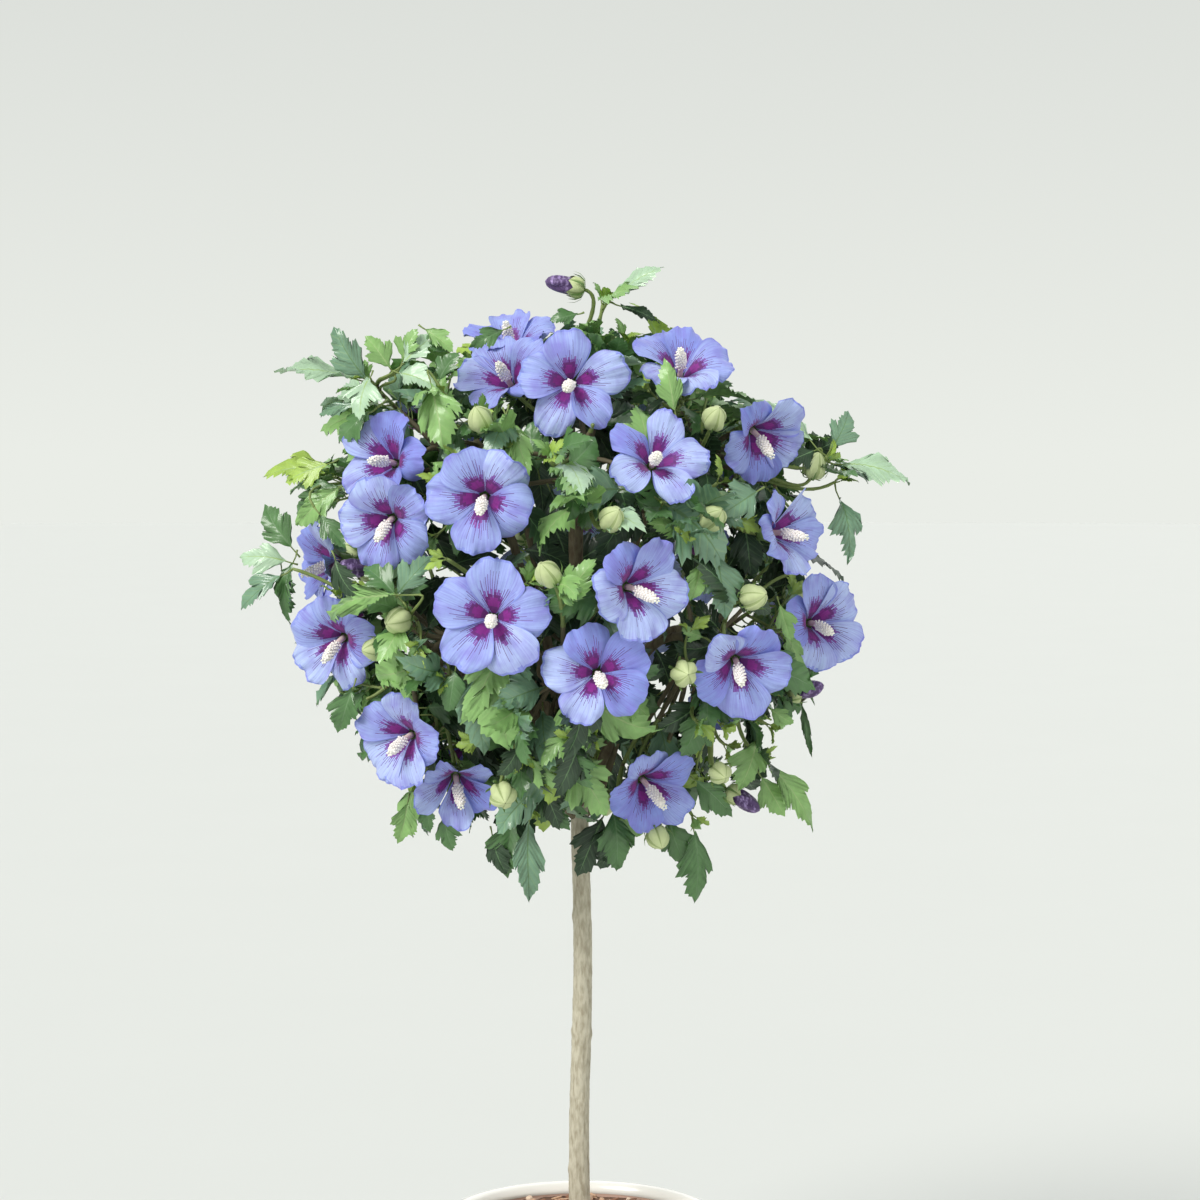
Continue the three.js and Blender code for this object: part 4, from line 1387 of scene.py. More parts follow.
def lay_over(material, amount, colour):
    """Lays a colour over a material's own, by the amount that a node's socket gives."""
    nodes, links = material.node_tree.nodes, material.node_tree.links
    skin = nodes["Principled BSDF"].inputs["Base Color"]
    tint = add_tint(nodes, B=colour)
    links.new(amount, tint.inputs["Factor"])
    links.new(skin.links[0].from_socket, tint.inputs["A"])
    links.new(tint.outputs["Result"], skin)


# ---- Pot and soil ----

POT_SEGMENTS = 128
SOIL_SEGMENTS = 96
# The radius of the tiny hole on the axis of a turned body, in the body's own unit
AXIS_HOLE = 0.01
# Where the round of the lip starts and ends, as angles up from level on the outside
LIP_START = -0.3 * math.pi
LIP_END = 1.15 * math.pi
# Faint rings that the turning left: their depth and closeness, and the radius they start at
TURNING_DEPTH = 0.12
TURNING_WAVE = 0.9
TURNED_FROM = 60
# How far the soil's top, and the foot of its upright edge, lie under its full height
SOIL_DIP = 1.6
SOIL_EDGE = 12
# A chip of bark: its sizes, the corners round it, and its levels with the outline's share at each
CHIP_LENGTHS = (6, 19)
CHIP_WIDTHS = (4, 9)
CHIP_HEIGHTS = (1.2, 3.4)
CHIP_CORNERS = 7
CHIP_LEVELS = ((-0.5, 0.8), (0, 1.05), (0.5, 0.75))
CHIP_SUNK = 1.2
TRUNK_CLEARANCE = 13


def pot_profile(settings):
    """The pot's section, from the middle of the underside over the lip to the floor inside."""
    height, rim, base = settings.height / MM, settings.rim_radius / MM, settings.base_radius / MM
    lip_foot = height - 2 * LIP_RADIUS

    def wall(at):
        return mix(base, rim - LIP_OVERHANG, at / height)

    foot = [
        (
            wall(0) - POT_FOOT_ROUNDING * (1 - math.sin(angle)),
            POT_FOOT_ROUNDING * (1 - math.cos(angle)),
        )
        for angle in np.linspace(0, math.pi / 2, 6)
    ]
    outside = [(wall(at), at) for at in np.linspace(POT_FOOT_ROUNDING, lip_foot, 26)[1:-1]]
    lip = [
        (
            rim - LIP_RADIUS + LIP_RADIUS * math.cos(angle),
            height - LIP_RADIUS + LIP_RADIUS * math.sin(angle),
        )
        for angle in np.linspace(LIP_START, LIP_END, 24)
    ]
    inside = [(wall(at) - POT_WALL, at) for at in np.linspace(lip_foot - 2, POT_FLOOR + 3, 16)]
    closing = [(wall(0) - POT_WALL - 4, POT_FLOOR), (AXIS_HOLE, POT_FLOOR)]
    outline = [(AXIS_HOLE, 0), *foot, *outside, *lip, *inside, *closing]
    inner_from = 1 + len(foot) + len(outside) + len(lip) - 2
    return outline, inner_from


class ROSE_OT_pot(bpy.types.Operator):
    """Turn the glazed pot, with its rounded lip and bare inner wall"""

    bl_idname = "rose_of_sharon.pot"
    bl_label = "Pot"

    def execute(self, context):
        settings = context.scene.rose_pot
        outline, inner_from = pot_profile(settings)
        points, faces = lathe(outline, POT_SEGMENTS)
        radii = np.linalg.norm(points[..., :2], axis=-1, keepdims=True)
        turned = TURNING_DEPTH * np.sin(points[..., 2:] * TURNING_WAVE) * (radii > TURNED_FROM)
        points[..., :2] *= 1 + np.minimum(0, turned - TURNING_DEPTH) / np.maximum(radii, 1)
        finishes = (faces[:, 0] // POT_SEGMENTS >= inner_from).astype(int)
        pot = Batch()
        pot.add(points, faces, finishes)
        materials = [
            finish("glaze", settings.glaze, 0.22, 0.035, 26, relief=0.05, Coat_Weight=0.4),
            finish("bare_clay", settings.inside, 0.75, 0.1, 3, relief=0.12),
        ]
        pot.piece("pot_glazed", materials, "glaze", ["pot"])
        return {"FINISHED"}


def chip(draw, soil_radius):
    """A flat, broken piece of bark that lies on the soil."""
    length, width = mix(*CHIP_LENGTHS, draw() ** 1.6), mix(*CHIP_WIDTHS, draw())
    height = mix(*CHIP_HEIGHTS, draw())
    reach, turn = (soil_radius - length * 0.55) * math.sqrt(draw()), 2 * math.pi * draw()
    if reach < TRUNK_CLEARANCE:
        reach += TRUNK_CLEARANCE
    corners = []
    for level, shrink in CHIP_LEVELS:
        for step in range(CHIP_CORNERS):
            angle = 2 * math.pi * (step + 0.3 * draw()) / CHIP_CORNERS
            ragged = shrink * mix(0.72, 1.1, draw())
            corners.append((
                0.5 * length * ragged * math.cos(angle),
                0.5 * width * ragged * math.sin(angle),
                height * (level + 0.22 * (draw() - 0.5)),
            ))
    spin, tip, roll = 2 * math.pi * draw(), mix(-0.35, 0.35, draw()), mix(-0.4, 0.4, draw())
    tipped = turn_about(np.array(corners), (roll, tip, spin))
    lift = SOIL_TOP + mix(-0.5, 2.2, draw()) - CHIP_SUNK
    place = (reach * math.cos(turn), reach * math.sin(turn), lift)
    return tipped + place, closed_faces(len(CHIP_LEVELS), CHIP_CORNERS)


def turn_about(points, angles):
    """Points turned about X, then Y, then Z."""
    for axis, angle in enumerate(angles):
        ahead, behind = (axis + 1) % 3, (axis + 2) % 3
        cosine, sine = math.cos(angle), math.sin(angle)
        turned = points.copy()
        turned[:, ahead] = cosine * points[:, ahead] - sine * points[:, behind]
        turned[:, behind] = sine * points[:, ahead] + cosine * points[:, behind]
        points = turned
    return points


def heaped_soil(underside, foot, inside):
    """The soil with its uneven top. foot and inside are its radii at the underside and on top."""
    profile = [(AXIS_HOLE, underside), (foot, underside), (inside, SOIL_TOP - SOIL_EDGE)]
    rings = np.linspace(AXIS_HOLE, inside, 22)
    profile += [(radius, SOIL_TOP - SOIL_DIP) for radius in rings[::-1]]
    points, faces = lathe(profile, SOIL_SEGMENTS)
    for point in points[3:].reshape(-1, 3):
        place = Vector(point)
        point[2] += 1.6 * noise.noise(place * 0.11) + 0.7 * noise.noise(place * 0.5)
    return points, faces


class ROSE_OT_soil(bpy.types.Operator):
    """Fill the pot with soil and lay chips of bark on it"""

    bl_idname = "rose_of_sharon.soil"
    bl_label = "Soil and bark chips"

    def execute(self, context):
        settings = context.scene.rose_pot
        low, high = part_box("potting_soil")
        inside = high.x / MM
        foot = settings.base_radius / MM - POT_WALL - 1
        soil = Batch()
        soil.add(*heaped_soil(low.z / MM, foot, inside))
        draw = seeded_random(CHIP_SEED)
        for _ in range(settings.chips):
            soil.add(*chip(draw, inside - 1), 1 + (draw() < 0.45) + (draw() < 0.12))
        materials = [
            finish("soil", settings.soil, 0.95, 0.4, 2, relief=0.8),
            finish("chip_light", settings.chip_light, 0.85, 0.25, 1.6, relief=0.3),
            finish("chip_dark", settings.chip_dark, 0.85, 0.3, 1.4, relief=0.3),
            finish("chip_pale", settings.chip_pale, 0.8, 0.15, 1.5, relief=0.25),
        ]
        soil.piece("soil_with_chips", materials, "soil", ["potting_soil"])
        return {"FINISHED"}


# ---- Wood ----

TRUNK_SIDES = 44
TRUNK_SUNK = 4
ROOTS_TOP = SOIL_TOP + 40
ROOT_RINGS = 30
TRUNK_RINGS = 230
# A scar's swelling, the pit in its middle, the pit's share of its width, and its width as a share
# of its height
SCAR_SWELLING = 1.5
SCAR_PIT = 0.9
SCAR_PIT_SHARE = 0.45
SCAR_NARROWNESS = 0.75
BOUGH_SIDES = 14
BOUGH_RINGS = 30
STEM_SIDES = 9
STEM_RINGS = 16
TWIG_SIDES = 6
NODE_SWELLING = 1.14
# The twigs' and stalks' finishes, as numbers of their materials
TWIG_BARK, GREEN = range(2)
# A main twig and a fine one: steps, radius at the foot and the tip, and where the green starts
MAIN_TWIG = (18, 2.1, 1.25, 0.45)
FINE_TWIG = (7, 1.2, 0.85, 0.1)
STALK_SIDES = 4
STALK_RADII = (0.85, 0.6, 0.5)
STALK_SAG = 0.02


def scar_relief(height, azimuth):
    """How far the bark stands out over the scars of cut twigs."""
    lift = 0
    for scar_height, scar_azimuth, width in TRUNK_SCARS:
        turn = (azimuth - scar_azimuth + 180) % 360 - 180
        aside = math.radians(turn) * TRUNK_RADIUS_HIGH
        distance = math.hypot(aside, SCAR_NARROWNESS * (height - scar_height)) / (0.5 * width)
        lift += SCAR_SWELLING * math.exp(-(distance**2))
        lift -= SCAR_PIT * math.exp(-((distance / SCAR_PIT_SHARE) ** 2))
    return lift


def furrows(centre, angle, depth):
    """Long shallow furrows that run up the bark, with finer, shorter ones between them."""
    spoke = Vector((math.cos(angle), math.sin(angle), 0))
    long = noise.noise(spoke * 3.2 + Vector((0, 0, centre[2] * 0.028)))
    fine = noise.noise(spoke * 7.5 + Vector((5, 0, centre[2] * 0.11)))
    rough = noise.noise(spoke * 12 + Vector((9, 4, centre[2] * 0.42)))
    return depth * (1.5 * long + 0.9 * fine + 0.6 * rough)


def trunk_skin(depth):
    """The trunk's bark, from just under the soil up to its closed top."""
    heights = np.concatenate((
        np.linspace(SOIL_TOP - TRUNK_SUNK, ROOTS_TOP, ROOT_RINGS)[:-1],
        np.linspace(ROOTS_TOP, TRUNK_TOP, TRUNK_RINGS),
    ))
    azimuths = [step * 360 / TRUNK_SIDES for step in range(TRUNK_SIDES)]
    spokes = np.array([direction(azimuth, 0) for azimuth in azimuths])
    rings = []
    for height in heights:
        centre = trunk_axis(height)
        radii = [
            trunk_radius(max(height, SOIL_TOP))
            + scar_relief(height, azimuth)
            + furrows(centre, math.radians(azimuth), depth)
            for azimuth in azimuths
        ]
        rings.append(centre + spokes * np.array(radii)[:, None])
    faces = np.concatenate((
        grid_faces(len(heights), TRUNK_SIDES, closed=True),
        fan_faces((len(heights) - 1) * TRUNK_SIDES, TRUNK_SIDES),
    ))
    return np.concatenate(rings), faces


def bough_skin(bough, number, depth):
    """A bough's bark. Its number gives it furrows of its own."""
    line = bough.points(BOUGH_RINGS)
    taper = np.linspace(BOUGH_BASE_RADIUS, BOUGH_TIP_RADIUS, BOUGH_RINGS + 1)
    angles = [2 * math.pi * step / BOUGH_SIDES for step in range(BOUGH_SIDES)]
    radii = [
        [radius + furrows(centre + number, angle, depth) for angle in angles]
        for centre, radius in zip(line, taper)
    ]
    return tube(line, np.array(radii), BOUGH_SIDES)


class ROSE_OT_wood(bpy.types.Operator):
    """Grow the trunk with its furrowed, scarred bark, and the boughs that leave it"""

    bl_idname = "rose_of_sharon.wood"
    bl_label = "Trunk and boughs"

    def execute(self, context):
        settings = context.scene.rose_wood
        depth = settings.relief / MM
        trunk = Batch()
        trunk.add(*trunk_skin(depth))
        bark = finish("bark", settings.bark, 0.85, grain_size=2.4, stretch=3.5, relief=0.45)
        two_tone(bark, settings.furrow, 0.3, 0.62)
        trunk.piece("trunk_with_bark", [bark], "bark", ["trunk"])

        boughs = Batch()
        masses = grown_crown().masses
        for number, mass in enumerate(masses):
            boughs.add(*bough_skin(mass.bough, number, 0.6 * depth))
        # The boughs' bark is darkened with painted shade for the inside of the crown
        young = finish("young_bark_and_shade", settings.young_bark_and_shade, 0.8, grain_size=3, stretch=3, relief=0.25)
        two_tone(young, settings.young_furrow_and_shade, 0.3, 0.6)
        replaced = [f"bough_{mass.name}" for mass in masses]
        boughs.piece("boughs_with_bark", [young], "bark", replaced)
        return {"FINISHED"}


class ROSE_OT_twigs(bpy.types.Operator):
    """Grow the stems, the twigs with their nodes, and the leaves' stalks"""

    bl_idname = "rose_of_sharon.twigs"
    bl_label = "Twigs and leaf stalks"

    def execute(self, context):
        settings = context.scene.rose_wood
        crown, batch = grown_crown(), Batch()
        for mass in crown.masses:
            taper = np.linspace(BOUGH_TIP_RADIUS, STEM_TIP_RADIUS, STEM_RINGS + 1)
            batch.add(*tube(mass.stem.points(STEM_RINGS), taper, STEM_SIDES), TWIG_BARK)
        for twig in crown.twigs:
            steps, thick, thin, green_from = MAIN_TWIG if twig.target else FINE_TWIG
            radii = np.linspace(thick, thin, steps + 1)
            radii[1::2] *= NODE_SWELLING
            points, faces = tube(twig.curve.points(steps), radii, TWIG_SIDES)
            is_green = faces[:, 0] // TWIG_SIDES > steps * green_from
            batch.add(points, faces, np.where(is_green, GREEN, TWIG_BARK))
        for leaf in crown.leaves:
            stalk = leaf.axis * (leaf.length * PETIOLE_SHARE)
            sag = leaf.normal * (STALK_SAG * leaf.length)
            line = leaf.root + np.array((0 * stalk, 0.5 * stalk - sag, 1.12 * stalk))
            batch.add(*tube(line, STALK_RADII, STALK_SIDES), GREEN)
        materials = [
            # The twigs' bark has the boughs' colour, with its painted shade
            finish("twig_bark", settings.young_bark_and_shade, 0.75, 0.3, 2, 3, relief=0.2),
            finish("shoot_skin", settings.shoot, 0.55, 0.15, 3, 2, relief=0.05),
        ]
        foliage_piece(batch, "twigs_and_stalks", materials)
        return {"FINISHED"}


# ---- Leaves ----


def leaf_blade(leaf):
    """A lobed, toothed blade, folded along its rib, pleated between its veins and wavy."""
    draw = seeded_random(leaf.seed)
    ribs, ends, widths, filled, is_vein = LEAF_LINES.T
    widths = (widths + filled * (1 - leaf.lobing)) * (leaf.width * mix(0.88, 1.12, draw()))
    share = np.abs(LEAF_COLUMNS)
    along = ribs[:, None] + (ends - ribs)[:, None] * share
    aside = widths[:, None] * LEAF_COLUMNS * (1 + mix(-0.16, 0.16, draw()) * np.sign(LEAF_COLUMNS))
    phase, wave = 2 * math.pi * draw(), mix(0.02, 0.07, draw())
    fold, rise, droop = mix(0.0, 0.5, draw()), mix(0.1, 0.35, draw()), mix(0.05, 0.5, draw())
    along = along + 0.025 * np.sin(23 * along + 7 * phase * np.sign(LEAF_COLUMNS)) * share
    lift = fold * np.abs(aside) - (0.06 * is_vein[:, None] - 0.03) * np.sqrt(share)
    lift += rise * along - (rise + droop) * along**2
    lift += wave * np.sin(10 * along + phase + 2 * np.sign(aside)) * share
    lift -= mix(0.0, 1.1, draw()) * aside**2
    curl, sway = mix(-leaf.twist, leaf.twist, draw()) * along, mix(-0.14, 0.14, draw())
    twisted = aside * np.cos(curl) - lift * np.sin(curl) + sway * along**2
    lift = aside * np.sin(curl) + lift * np.cos(curl)
    blade = leaf.length * (1 - PETIOLE_SHARE)
    side = np.cross(leaf.normal, leaf.axis)
    foot = leaf.root + leaf.axis * (leaf.length * PETIOLE_SHARE)
    return foot + blade * (
        along[..., None] * leaf.axis + twisted[..., None] * side + lift[..., None] * leaf.normal
    )


def leaf_skin(name, colour, vein, roughness, coat):
    """A leaf's skin, with its side veins a little lighter."""
    material = finish(name, colour, roughness, 0.3, 10, relief=0.4, Coat_Weight=coat)
    nodes, links = material.node_tree.nodes, material.node_tree.links
    place = add_node(nodes, "UVMap")
    parts = add_node(nodes, "SeparateXYZ")
    near = add_node(nodes, "MapRange", From_Min=0.72, To_Max=0.3)
    links.new(place.outputs["UV"], parts.inputs["Vector"])
    links.new(parts.outputs["X"], near.inputs["Value"])
    lay_over(material, near.outputs["Result"], vein)
    return material


class ROSE_OT_leaves(bpy.types.Operator):
    """Grow the leaves, in pieces for the upper and the lower crown"""

    bl_idname = "rose_of_sharon.leaves"
    bl_label = "Leaves"

    def execute(self, context):
        settings = context.scene.rose_leaves
        columns = len(LEAF_COLUMNS)
        faces = grid_faces(len(LEAF_LINES), columns)
        on_rib = (faces[:, 0] % columns) // 2 == 1
        is_vein = np.repeat(LEAF_LINES[:, 4], columns)
        places = np.stack((is_vein, np.tile(LEAF_COLUMNS, len(LEAF_LINES))), -1)
        # The deep skin is painted shade, the light and pale skins painted light, and the blue skin
        # a painted sheen of the sky
        materials = [
            leaf_skin("leaf_deep_shade", settings.deep, settings.dark_rib, 0.45, 0.2),
            leaf_skin("leaf_middle", settings.mid, settings.dark_rib, 0.38, 0.3),
            leaf_skin("leaf_lit", settings.light, settings.rib, 0.42, 0.25),
            leaf_skin("leaf_blue_sheen", settings.blue, settings.rib, 0.34, 0.4),
            leaf_skin("leaf_pale_lit", settings.pale, settings.rib, 0.4, 0.25),
            leaf_skin("leaf_young", settings.young, settings.rib, 0.45, 0.2),
            finish("leaf_rib", settings.rib, 0.5, 0.1, 5, relief=0.1),
            finish("leaf_dark_rib", settings.dark_rib, 0.5, 0.1, 5, relief=0.1),
        ]
        upper, lower = Batch(), Batch()
        for leaf in grown_crown().leaves:
            batch = upper if leaf.root[2] > UPPER_LEAVES_FROM else lower
            # Light, pale and young leaves take the lighter rib and the rest the darker one: partly
            # painted light and painted shade
            rib = RIB if leaf.finish in (LIT_GREEN, PALE_LIT, YOUNG) else DARK_RIB
            batch.add(leaf_blade(leaf), faces, np.where(on_rib, rib, leaf.finish), places)
        foliage_piece(upper, "leaves_upper", materials)
        foliage_piece(lower, "leaves_lower", materials)
        return {"FINISHED"}


# ---- Flowers ----


@dataclass(eq=False)
class Flower:
    """A flower's own frame: side and other lie across the way it faces."""

    centre: np.ndarray
    side: np.ndarray
    other: np.ndarray
    heading: np.ndarray

    def place(self, radial, lateral, ahead, turn):
        """Points given out from the middle, aside and ahead, turned round the middle."""
        cosine, sine = math.cos(turn), math.sin(turn)
        first = radial * cosine - lateral * sine
        second = radial * sine + lateral * cosine
        return (
            self.centre
            + first[..., None] * self.side
            + second[..., None] * self.other
            + ahead[..., None] * self.heading
        )


def flower_of(target):
    side = across(target.heading, UP + SKEW)
    return Flower(target.centre, side, np.cross(target.heading, side), target.heading)


def twigs_with(kind):
    return [twig for twig in grown_crown().twigs if twig.kind == kind]


# The petals' finishes, as numbers of their materials
PETAL, PALE_PETAL, DEEP_PETAL, HALO, EYE, EYE_RIM, VEIN = range(7)
PETAL_TINTS = (PETAL, PETAL, PALE_PETAL, PALE_PETAL, DEEP_PETAL)
# Where a petal's rim of a fuller blue starts, out from its claw and over from its middle
RIM_OUT = 0.975
RIM_OVER = 0.93


def petal_grid():
    """Out from the claw by rows and over from edge to edge by columns, from 0 to 1 and 1 to -1.

    Every second column is a narrow vein, which tapers on its way out.
    """
    out = np.linspace(0, 1, PETAL_ROWS)[:, None] ** 0.92
    pairs = (PETAL_COLUMNS - 1) // 2
    middles = 1 - 2 * (np.arange(pairs) + 0.5) / pairs
    half = VEIN_HALF_WIDTH * (1.15 - out)
    over = np.stack((middles + half, middles - half), -1).reshape(PETAL_ROWS, -1)
    return out, np.concatenate((over, np.full((PETAL_ROWS, 1), -1.0)), axis=1)


def petal_shape(draw, cup, width, reach, ruffle):
    """One petal, as rows from its claw to its edge: out, aside and ahead. Some roll one side up."""
    out, over = petal_grid()
    length = (reach - PETAL_CLAW) * mix(0.88, 1.0, draw())
    width = width * mix(0.9, 1.08, draw())
    edge = (
        1
        - mix(0.26, 0.44, draw()) * np.abs(over) ** mix(2.4, 4.2, draw())
        + 0.021 * np.sin(8 * over + 6 * draw()) * (1 - over**2)
        + 0.009 * np.sin(19 * over + 6 * draw())
        + mix(-0.07, 0.07, draw()) * over * (1 - 0.6 * over**2)
    )
    radial = PETAL_CLAW + length * out * edge
    lateral = over * width * (1 - (1 - out) ** 1.7) * (1 - 0.06 * out**4)
    lateral += PETAL_CLAW * 0.45 * over * (1 - out)
    phase, second = 6 * draw(), 6 * draw()
    ahead = (
        -THROAT_DEPTH * (1 - out) ** 3.1
        + cup * out**2
        - mix(1.5, 6.5, draw()) * out**4
        + ruffle * out**3 * np.sin(4.2 * over + phase)
        + 0.55 * ruffle * out**5 * np.sin(10 * over + second)
        + 2.6 * over * out
        - mix(-2, 4.5, draw()) * over**2 * out
        + 0.22 * np.cos(26 * over) * out * (1 - 0.4 * out)
        + 0.35 * np.sin(7 * over + 9 * out + 6 * draw()) * out**2
        + 0.25 * ruffle * out**8 * np.sin(21 * over + phase)
    )
    roll, side = PETAL_ROLL * (2 * draw() - 1) ** 3, math.copysign(1, draw() - 0.5)
    rolled = np.clip(side * over - 0.2, 0, 1) ** 2 * out**1.4
    ahead += roll * rolled
    lateral -= side * 0.45 * abs(roll) * rolled
    radial -= 0.012 * max(cup, 0) * out**2 * length
    return radial, lateral, ahead


def petal_finishes(draw, main):
    """The eye fills the foot of the petal, and veins run out of it in a lilac halo. A narrow rim
    of a fuller blue runs round the edge."""
    out, over = petal_grid()
    out = (out[:-1] + out[1:]) / 2
    over = (over[:-1, :-1] + over[:-1, 1:]) / 2
    reach = np.array([draw() for _ in range(PETAL_COLUMNS - 1)])[None, :]
    bend = np.clip(1 - (np.abs(over) / EYE_SHARE) ** 3, 0, 1)
    eye = bend**0.5 * (EYE_REACH - 0.06 + 0.08 * reach)
    is_vein = np.arange(PETAL_COLUMNS - 1)[None, :] % 2 == 0
    vein = np.clip(1 - (np.abs(over) / (EYE_SHARE + 0.2)) ** 3, 0, 1) ** 0.6
    vein = vein * (EYE_REACH + 0.03 + 0.4 * reach**1.4)
    finishes = np.full(over.shape, main)
    finishes[(out > RIM_OUT - 0.05 * reach) | (np.abs(over) > RIM_OVER)] = DEEP_PETAL
    finishes[(out < eye + 0.02 + 0.08 * reach) & (bend > 0)] = HALO
    finishes[is_vein & (out < vein)] = VEIN
    finishes[(out < eye) & (bend > 0)] = EYE_RIM
    finishes[(out < eye - 0.04 - 0.08 * reach) & (out > 0.1)] = EYE
    return finishes.ravel()


def silk(name, colour, blush, streaks):
    """A petal's skin: fine streaks run out along it, and a fuller colour flushes it in places."""
    material = finish(name, colour, 0.62, 0.08, 3, relief=0.26, Sheen_Weight=0.15)
    nodes, links = material.node_tree.nodes, material.node_tree.links
    place = add_node(nodes, "UVMap")
    scale = add_node(nodes, "Mapping", Scale=(22, 1.3, 1))
    streak = add_node(nodes, "TexNoise", Scale=1, Detail=3)
    links.new(place.outputs["UV"], scale.inputs["Vector"])
    links.new(scale.outputs["Vector"], streak.inputs["Vector"])
    flush = add_node(nodes, "TexNoise", Scale=1 / (16 * MM))
    spread = add_node(nodes, "TexCoord")
    links.new(spread.outputs["Object"], flush.inputs["Vector"])
    for source, low, high, most in ((streak, 0.42, 0.72, streaks), (flush, 0.46, 0.7, 0.55)):
        amount = add_node(nodes, "MapRange", From_Min=low, From_Max=high, To_Max=most)
        links.new(source.outputs["Fac"], amount.inputs["Value"])
        lay_over(material, amount.outputs["Result"], blush)
    return material


def petal_materials(settings):
    return [
        silk("petal", settings.petal, settings.blush, 0.6),
        silk("petal_pale", settings.petal_pale, settings.blush, 0.5),
        silk("petal_deep", settings.petal_deep, settings.blush, 0.6),
        silk("petal_halo", settings.halo, settings.eye, 0.4),
        silk("petal_eye", settings.eye, settings.eye_rim, 0.6),
        silk("petal_eye_rim", settings.eye_rim, settings.vein, 0.4),
        finish("petal_vein", settings.vein, 0.6, 0.1, 5),
    ]


class ROSE_OT_petals(bpy.types.Operator):
    """Open the flowers' petals, each overlapping the next, with their eye and veins"""

    bl_idname = "rose_of_sharon.petals"
    bl_label = "Petals"

    def execute(self, context):
        settings = context.scene.rose_blooms
        faces = grid_faces(PETAL_ROWS, PETAL_COLUMNS)
        places = np.stack(np.broadcast_arrays(*petal_grid()[::-1]), -1)
        batches = {"petals_open_side": Batch(), "petals_far_side": Batch()}
        for twig in twigs_with("bloom"):
            open_side = twig.target.centre[1] < 0
            batch = batches["petals_open_side" if open_side else "petals_far_side"]
            flower = flower_of(twig.target)
            draw = seeded_random(PETAL_SEEDS + twig.seed)
            first_turn, cup, width, reach = twig.target.petals
            for petal in range(PETALS):
                turn = math.radians(first_turn + 360 / PETALS * petal + mix(-7, 7, draw()))
                standing = cup + mix(-1.5, 1.5, draw())
                shape = petal_shape(draw, standing, width, reach, settings.ruffle / MM)
                main = PETAL_TINTS[int(len(PETAL_TINTS) * draw())]
                finishes = petal_finishes(draw, main)
                apart = (10 * draw(), 10 * draw())
                batch.add(flower.place(*shape, turn), faces, finishes, places + apart)
        materials = petal_materials(settings)
        for name, batch in batches.items():
            foliage_piece(batch, name, materials)
        return {"FINISHED"}


def ball(centre, radius, axis, stretch):
    """A small rounded grain, drawn out along an axis."""
    golden = (1 + math.sqrt(5)) / 2
    points = np.array([
        corner[shift:] + corner[:shift]
        for corner in ((0.0, one, two * golden) for one in (-1, 1) for two in (-1, 1))
        for shift in range(3)
    ]) / math.hypot(1, golden)
    points = points * radius
    points += np.outer(points @ axis, axis) * (stretch - 1)
    return centre + points


@functools.lru_cache(maxsize=1)
def ball_faces():
    """The 20 triangles between the 12 corners of a ball."""
    points = ball(np.zeros(3), 1, UP, 1)
    near = np.linalg.norm(points[:, None] - points, axis=-1) < 1.2
    faces = []
    for a in range(12):
        for b in range(a + 1, 12):
            for c in range(b + 1, 12):
                if near[a, b] and near[b, c] and near[a, c]:
                    outward = np.cross(points[b] - points[a], points[c] - points[a]) @ points[a] > 0
                    faces.append((a, b, c, c) if outward else (a, c, b, b))
    return np.array(faces)


# The columns' finishes, as numbers of their materials
STAMENS, BARE_FOOT, STIGMA = range(3)
COLUMN_SIDES = 8
BARE_RINGS = 3
# Where along the column the anthers stand, how far out of its middle, and their radii
ANTHERS_ALONG = (0.38, 0.96)
ANTHERS_OUT = (3.1, 4.0)
ANTHER_RADII = (0.85, 1.15)
# The stigma's knobs: how far ahead and aside of the column's tip, and their radius
KNOB_REACH = 1.7
KNOB_RADIUS = 0.95


class ROSE_OT_columns(bpy.types.Operator):
    """Set the column of stamens in each flower, thick with anthers, with its stigma"""

    bl_idname = "rose_of_sharon.columns"
    bl_label = "Columns of stamens"

    def execute(self, context):
        settings = context.scene.rose_blooms
        batch = Batch()
        for twig in twigs_with("bloom"):
            flower = flower_of(twig.target)
            draw = seeded_random(COLUMN_SEEDS + twig.seed)
            leaning = across(flower.heading, blend((UP, -1), (SIDE, 1.6 * draw() - 0.8)))
            foot = flower.centre + flower.heading * COLUMN_FOOT
            tip = flower.centre + flower.heading * COLUMN_TIP + leaning * mix(*COLUMN_SAG, draw())
            line = Arc(foot, flower.heading, tip, unit(tip - foot))
            centres = line.points(len(COLUMN_RADII) - 1)
            points, faces = tube(centres, COLUMN_RADII, COLUMN_SIDES)
            bare = faces[:, 0] // COLUMN_SIDES < BARE_RINGS
            batch.add(points, faces, np.where(bare, BARE_FOOT, STAMENS))
            for index in range(ANTHERS):
                share = mix(*ANTHERS_ALONG, (index + 0.5) / ANTHERS)
                centre, along = line.point(share), line.tangent(share)
                side = across(along, SKEW)
                spoke = spoke_at(side, np.cross(along, side), math.radians(index * DIVERGENCE))
                radius = mix(*ANTHERS_OUT, draw()) * (1 - 0.4 * max(0, share - 0.8) / 0.2)
                anther = ball(centre + spoke * radius, mix(*ANTHER_RADII, draw()), spoke, 1.1)
                batch.add(anther, ball_faces(), STAMENS)
            for index in range(PETALS):
                spoke = spoke_at(flower.side, flower.other, math.radians(360 / PETALS * index))
                knob = tip + line.tangent(1) * KNOB_REACH + spoke * KNOB_REACH
                batch.add(ball(knob, KNOB_RADIUS, spoke, 1.2), ball_faces(), STIGMA)
        materials = [
            finish("stamens", settings.column, 0.7, 0.06, 1.5, relief=0.1),
            finish("column_foot", settings.column_foot, 0.6, 0.08, 2),
            finish("stigma", settings.stigma, 0.6, 0.03, 1),
        ]
        foliage_piece(batch, "stamen_columns", materials)
        return {"FINISHED"}


# ---- Calyces and buds ----

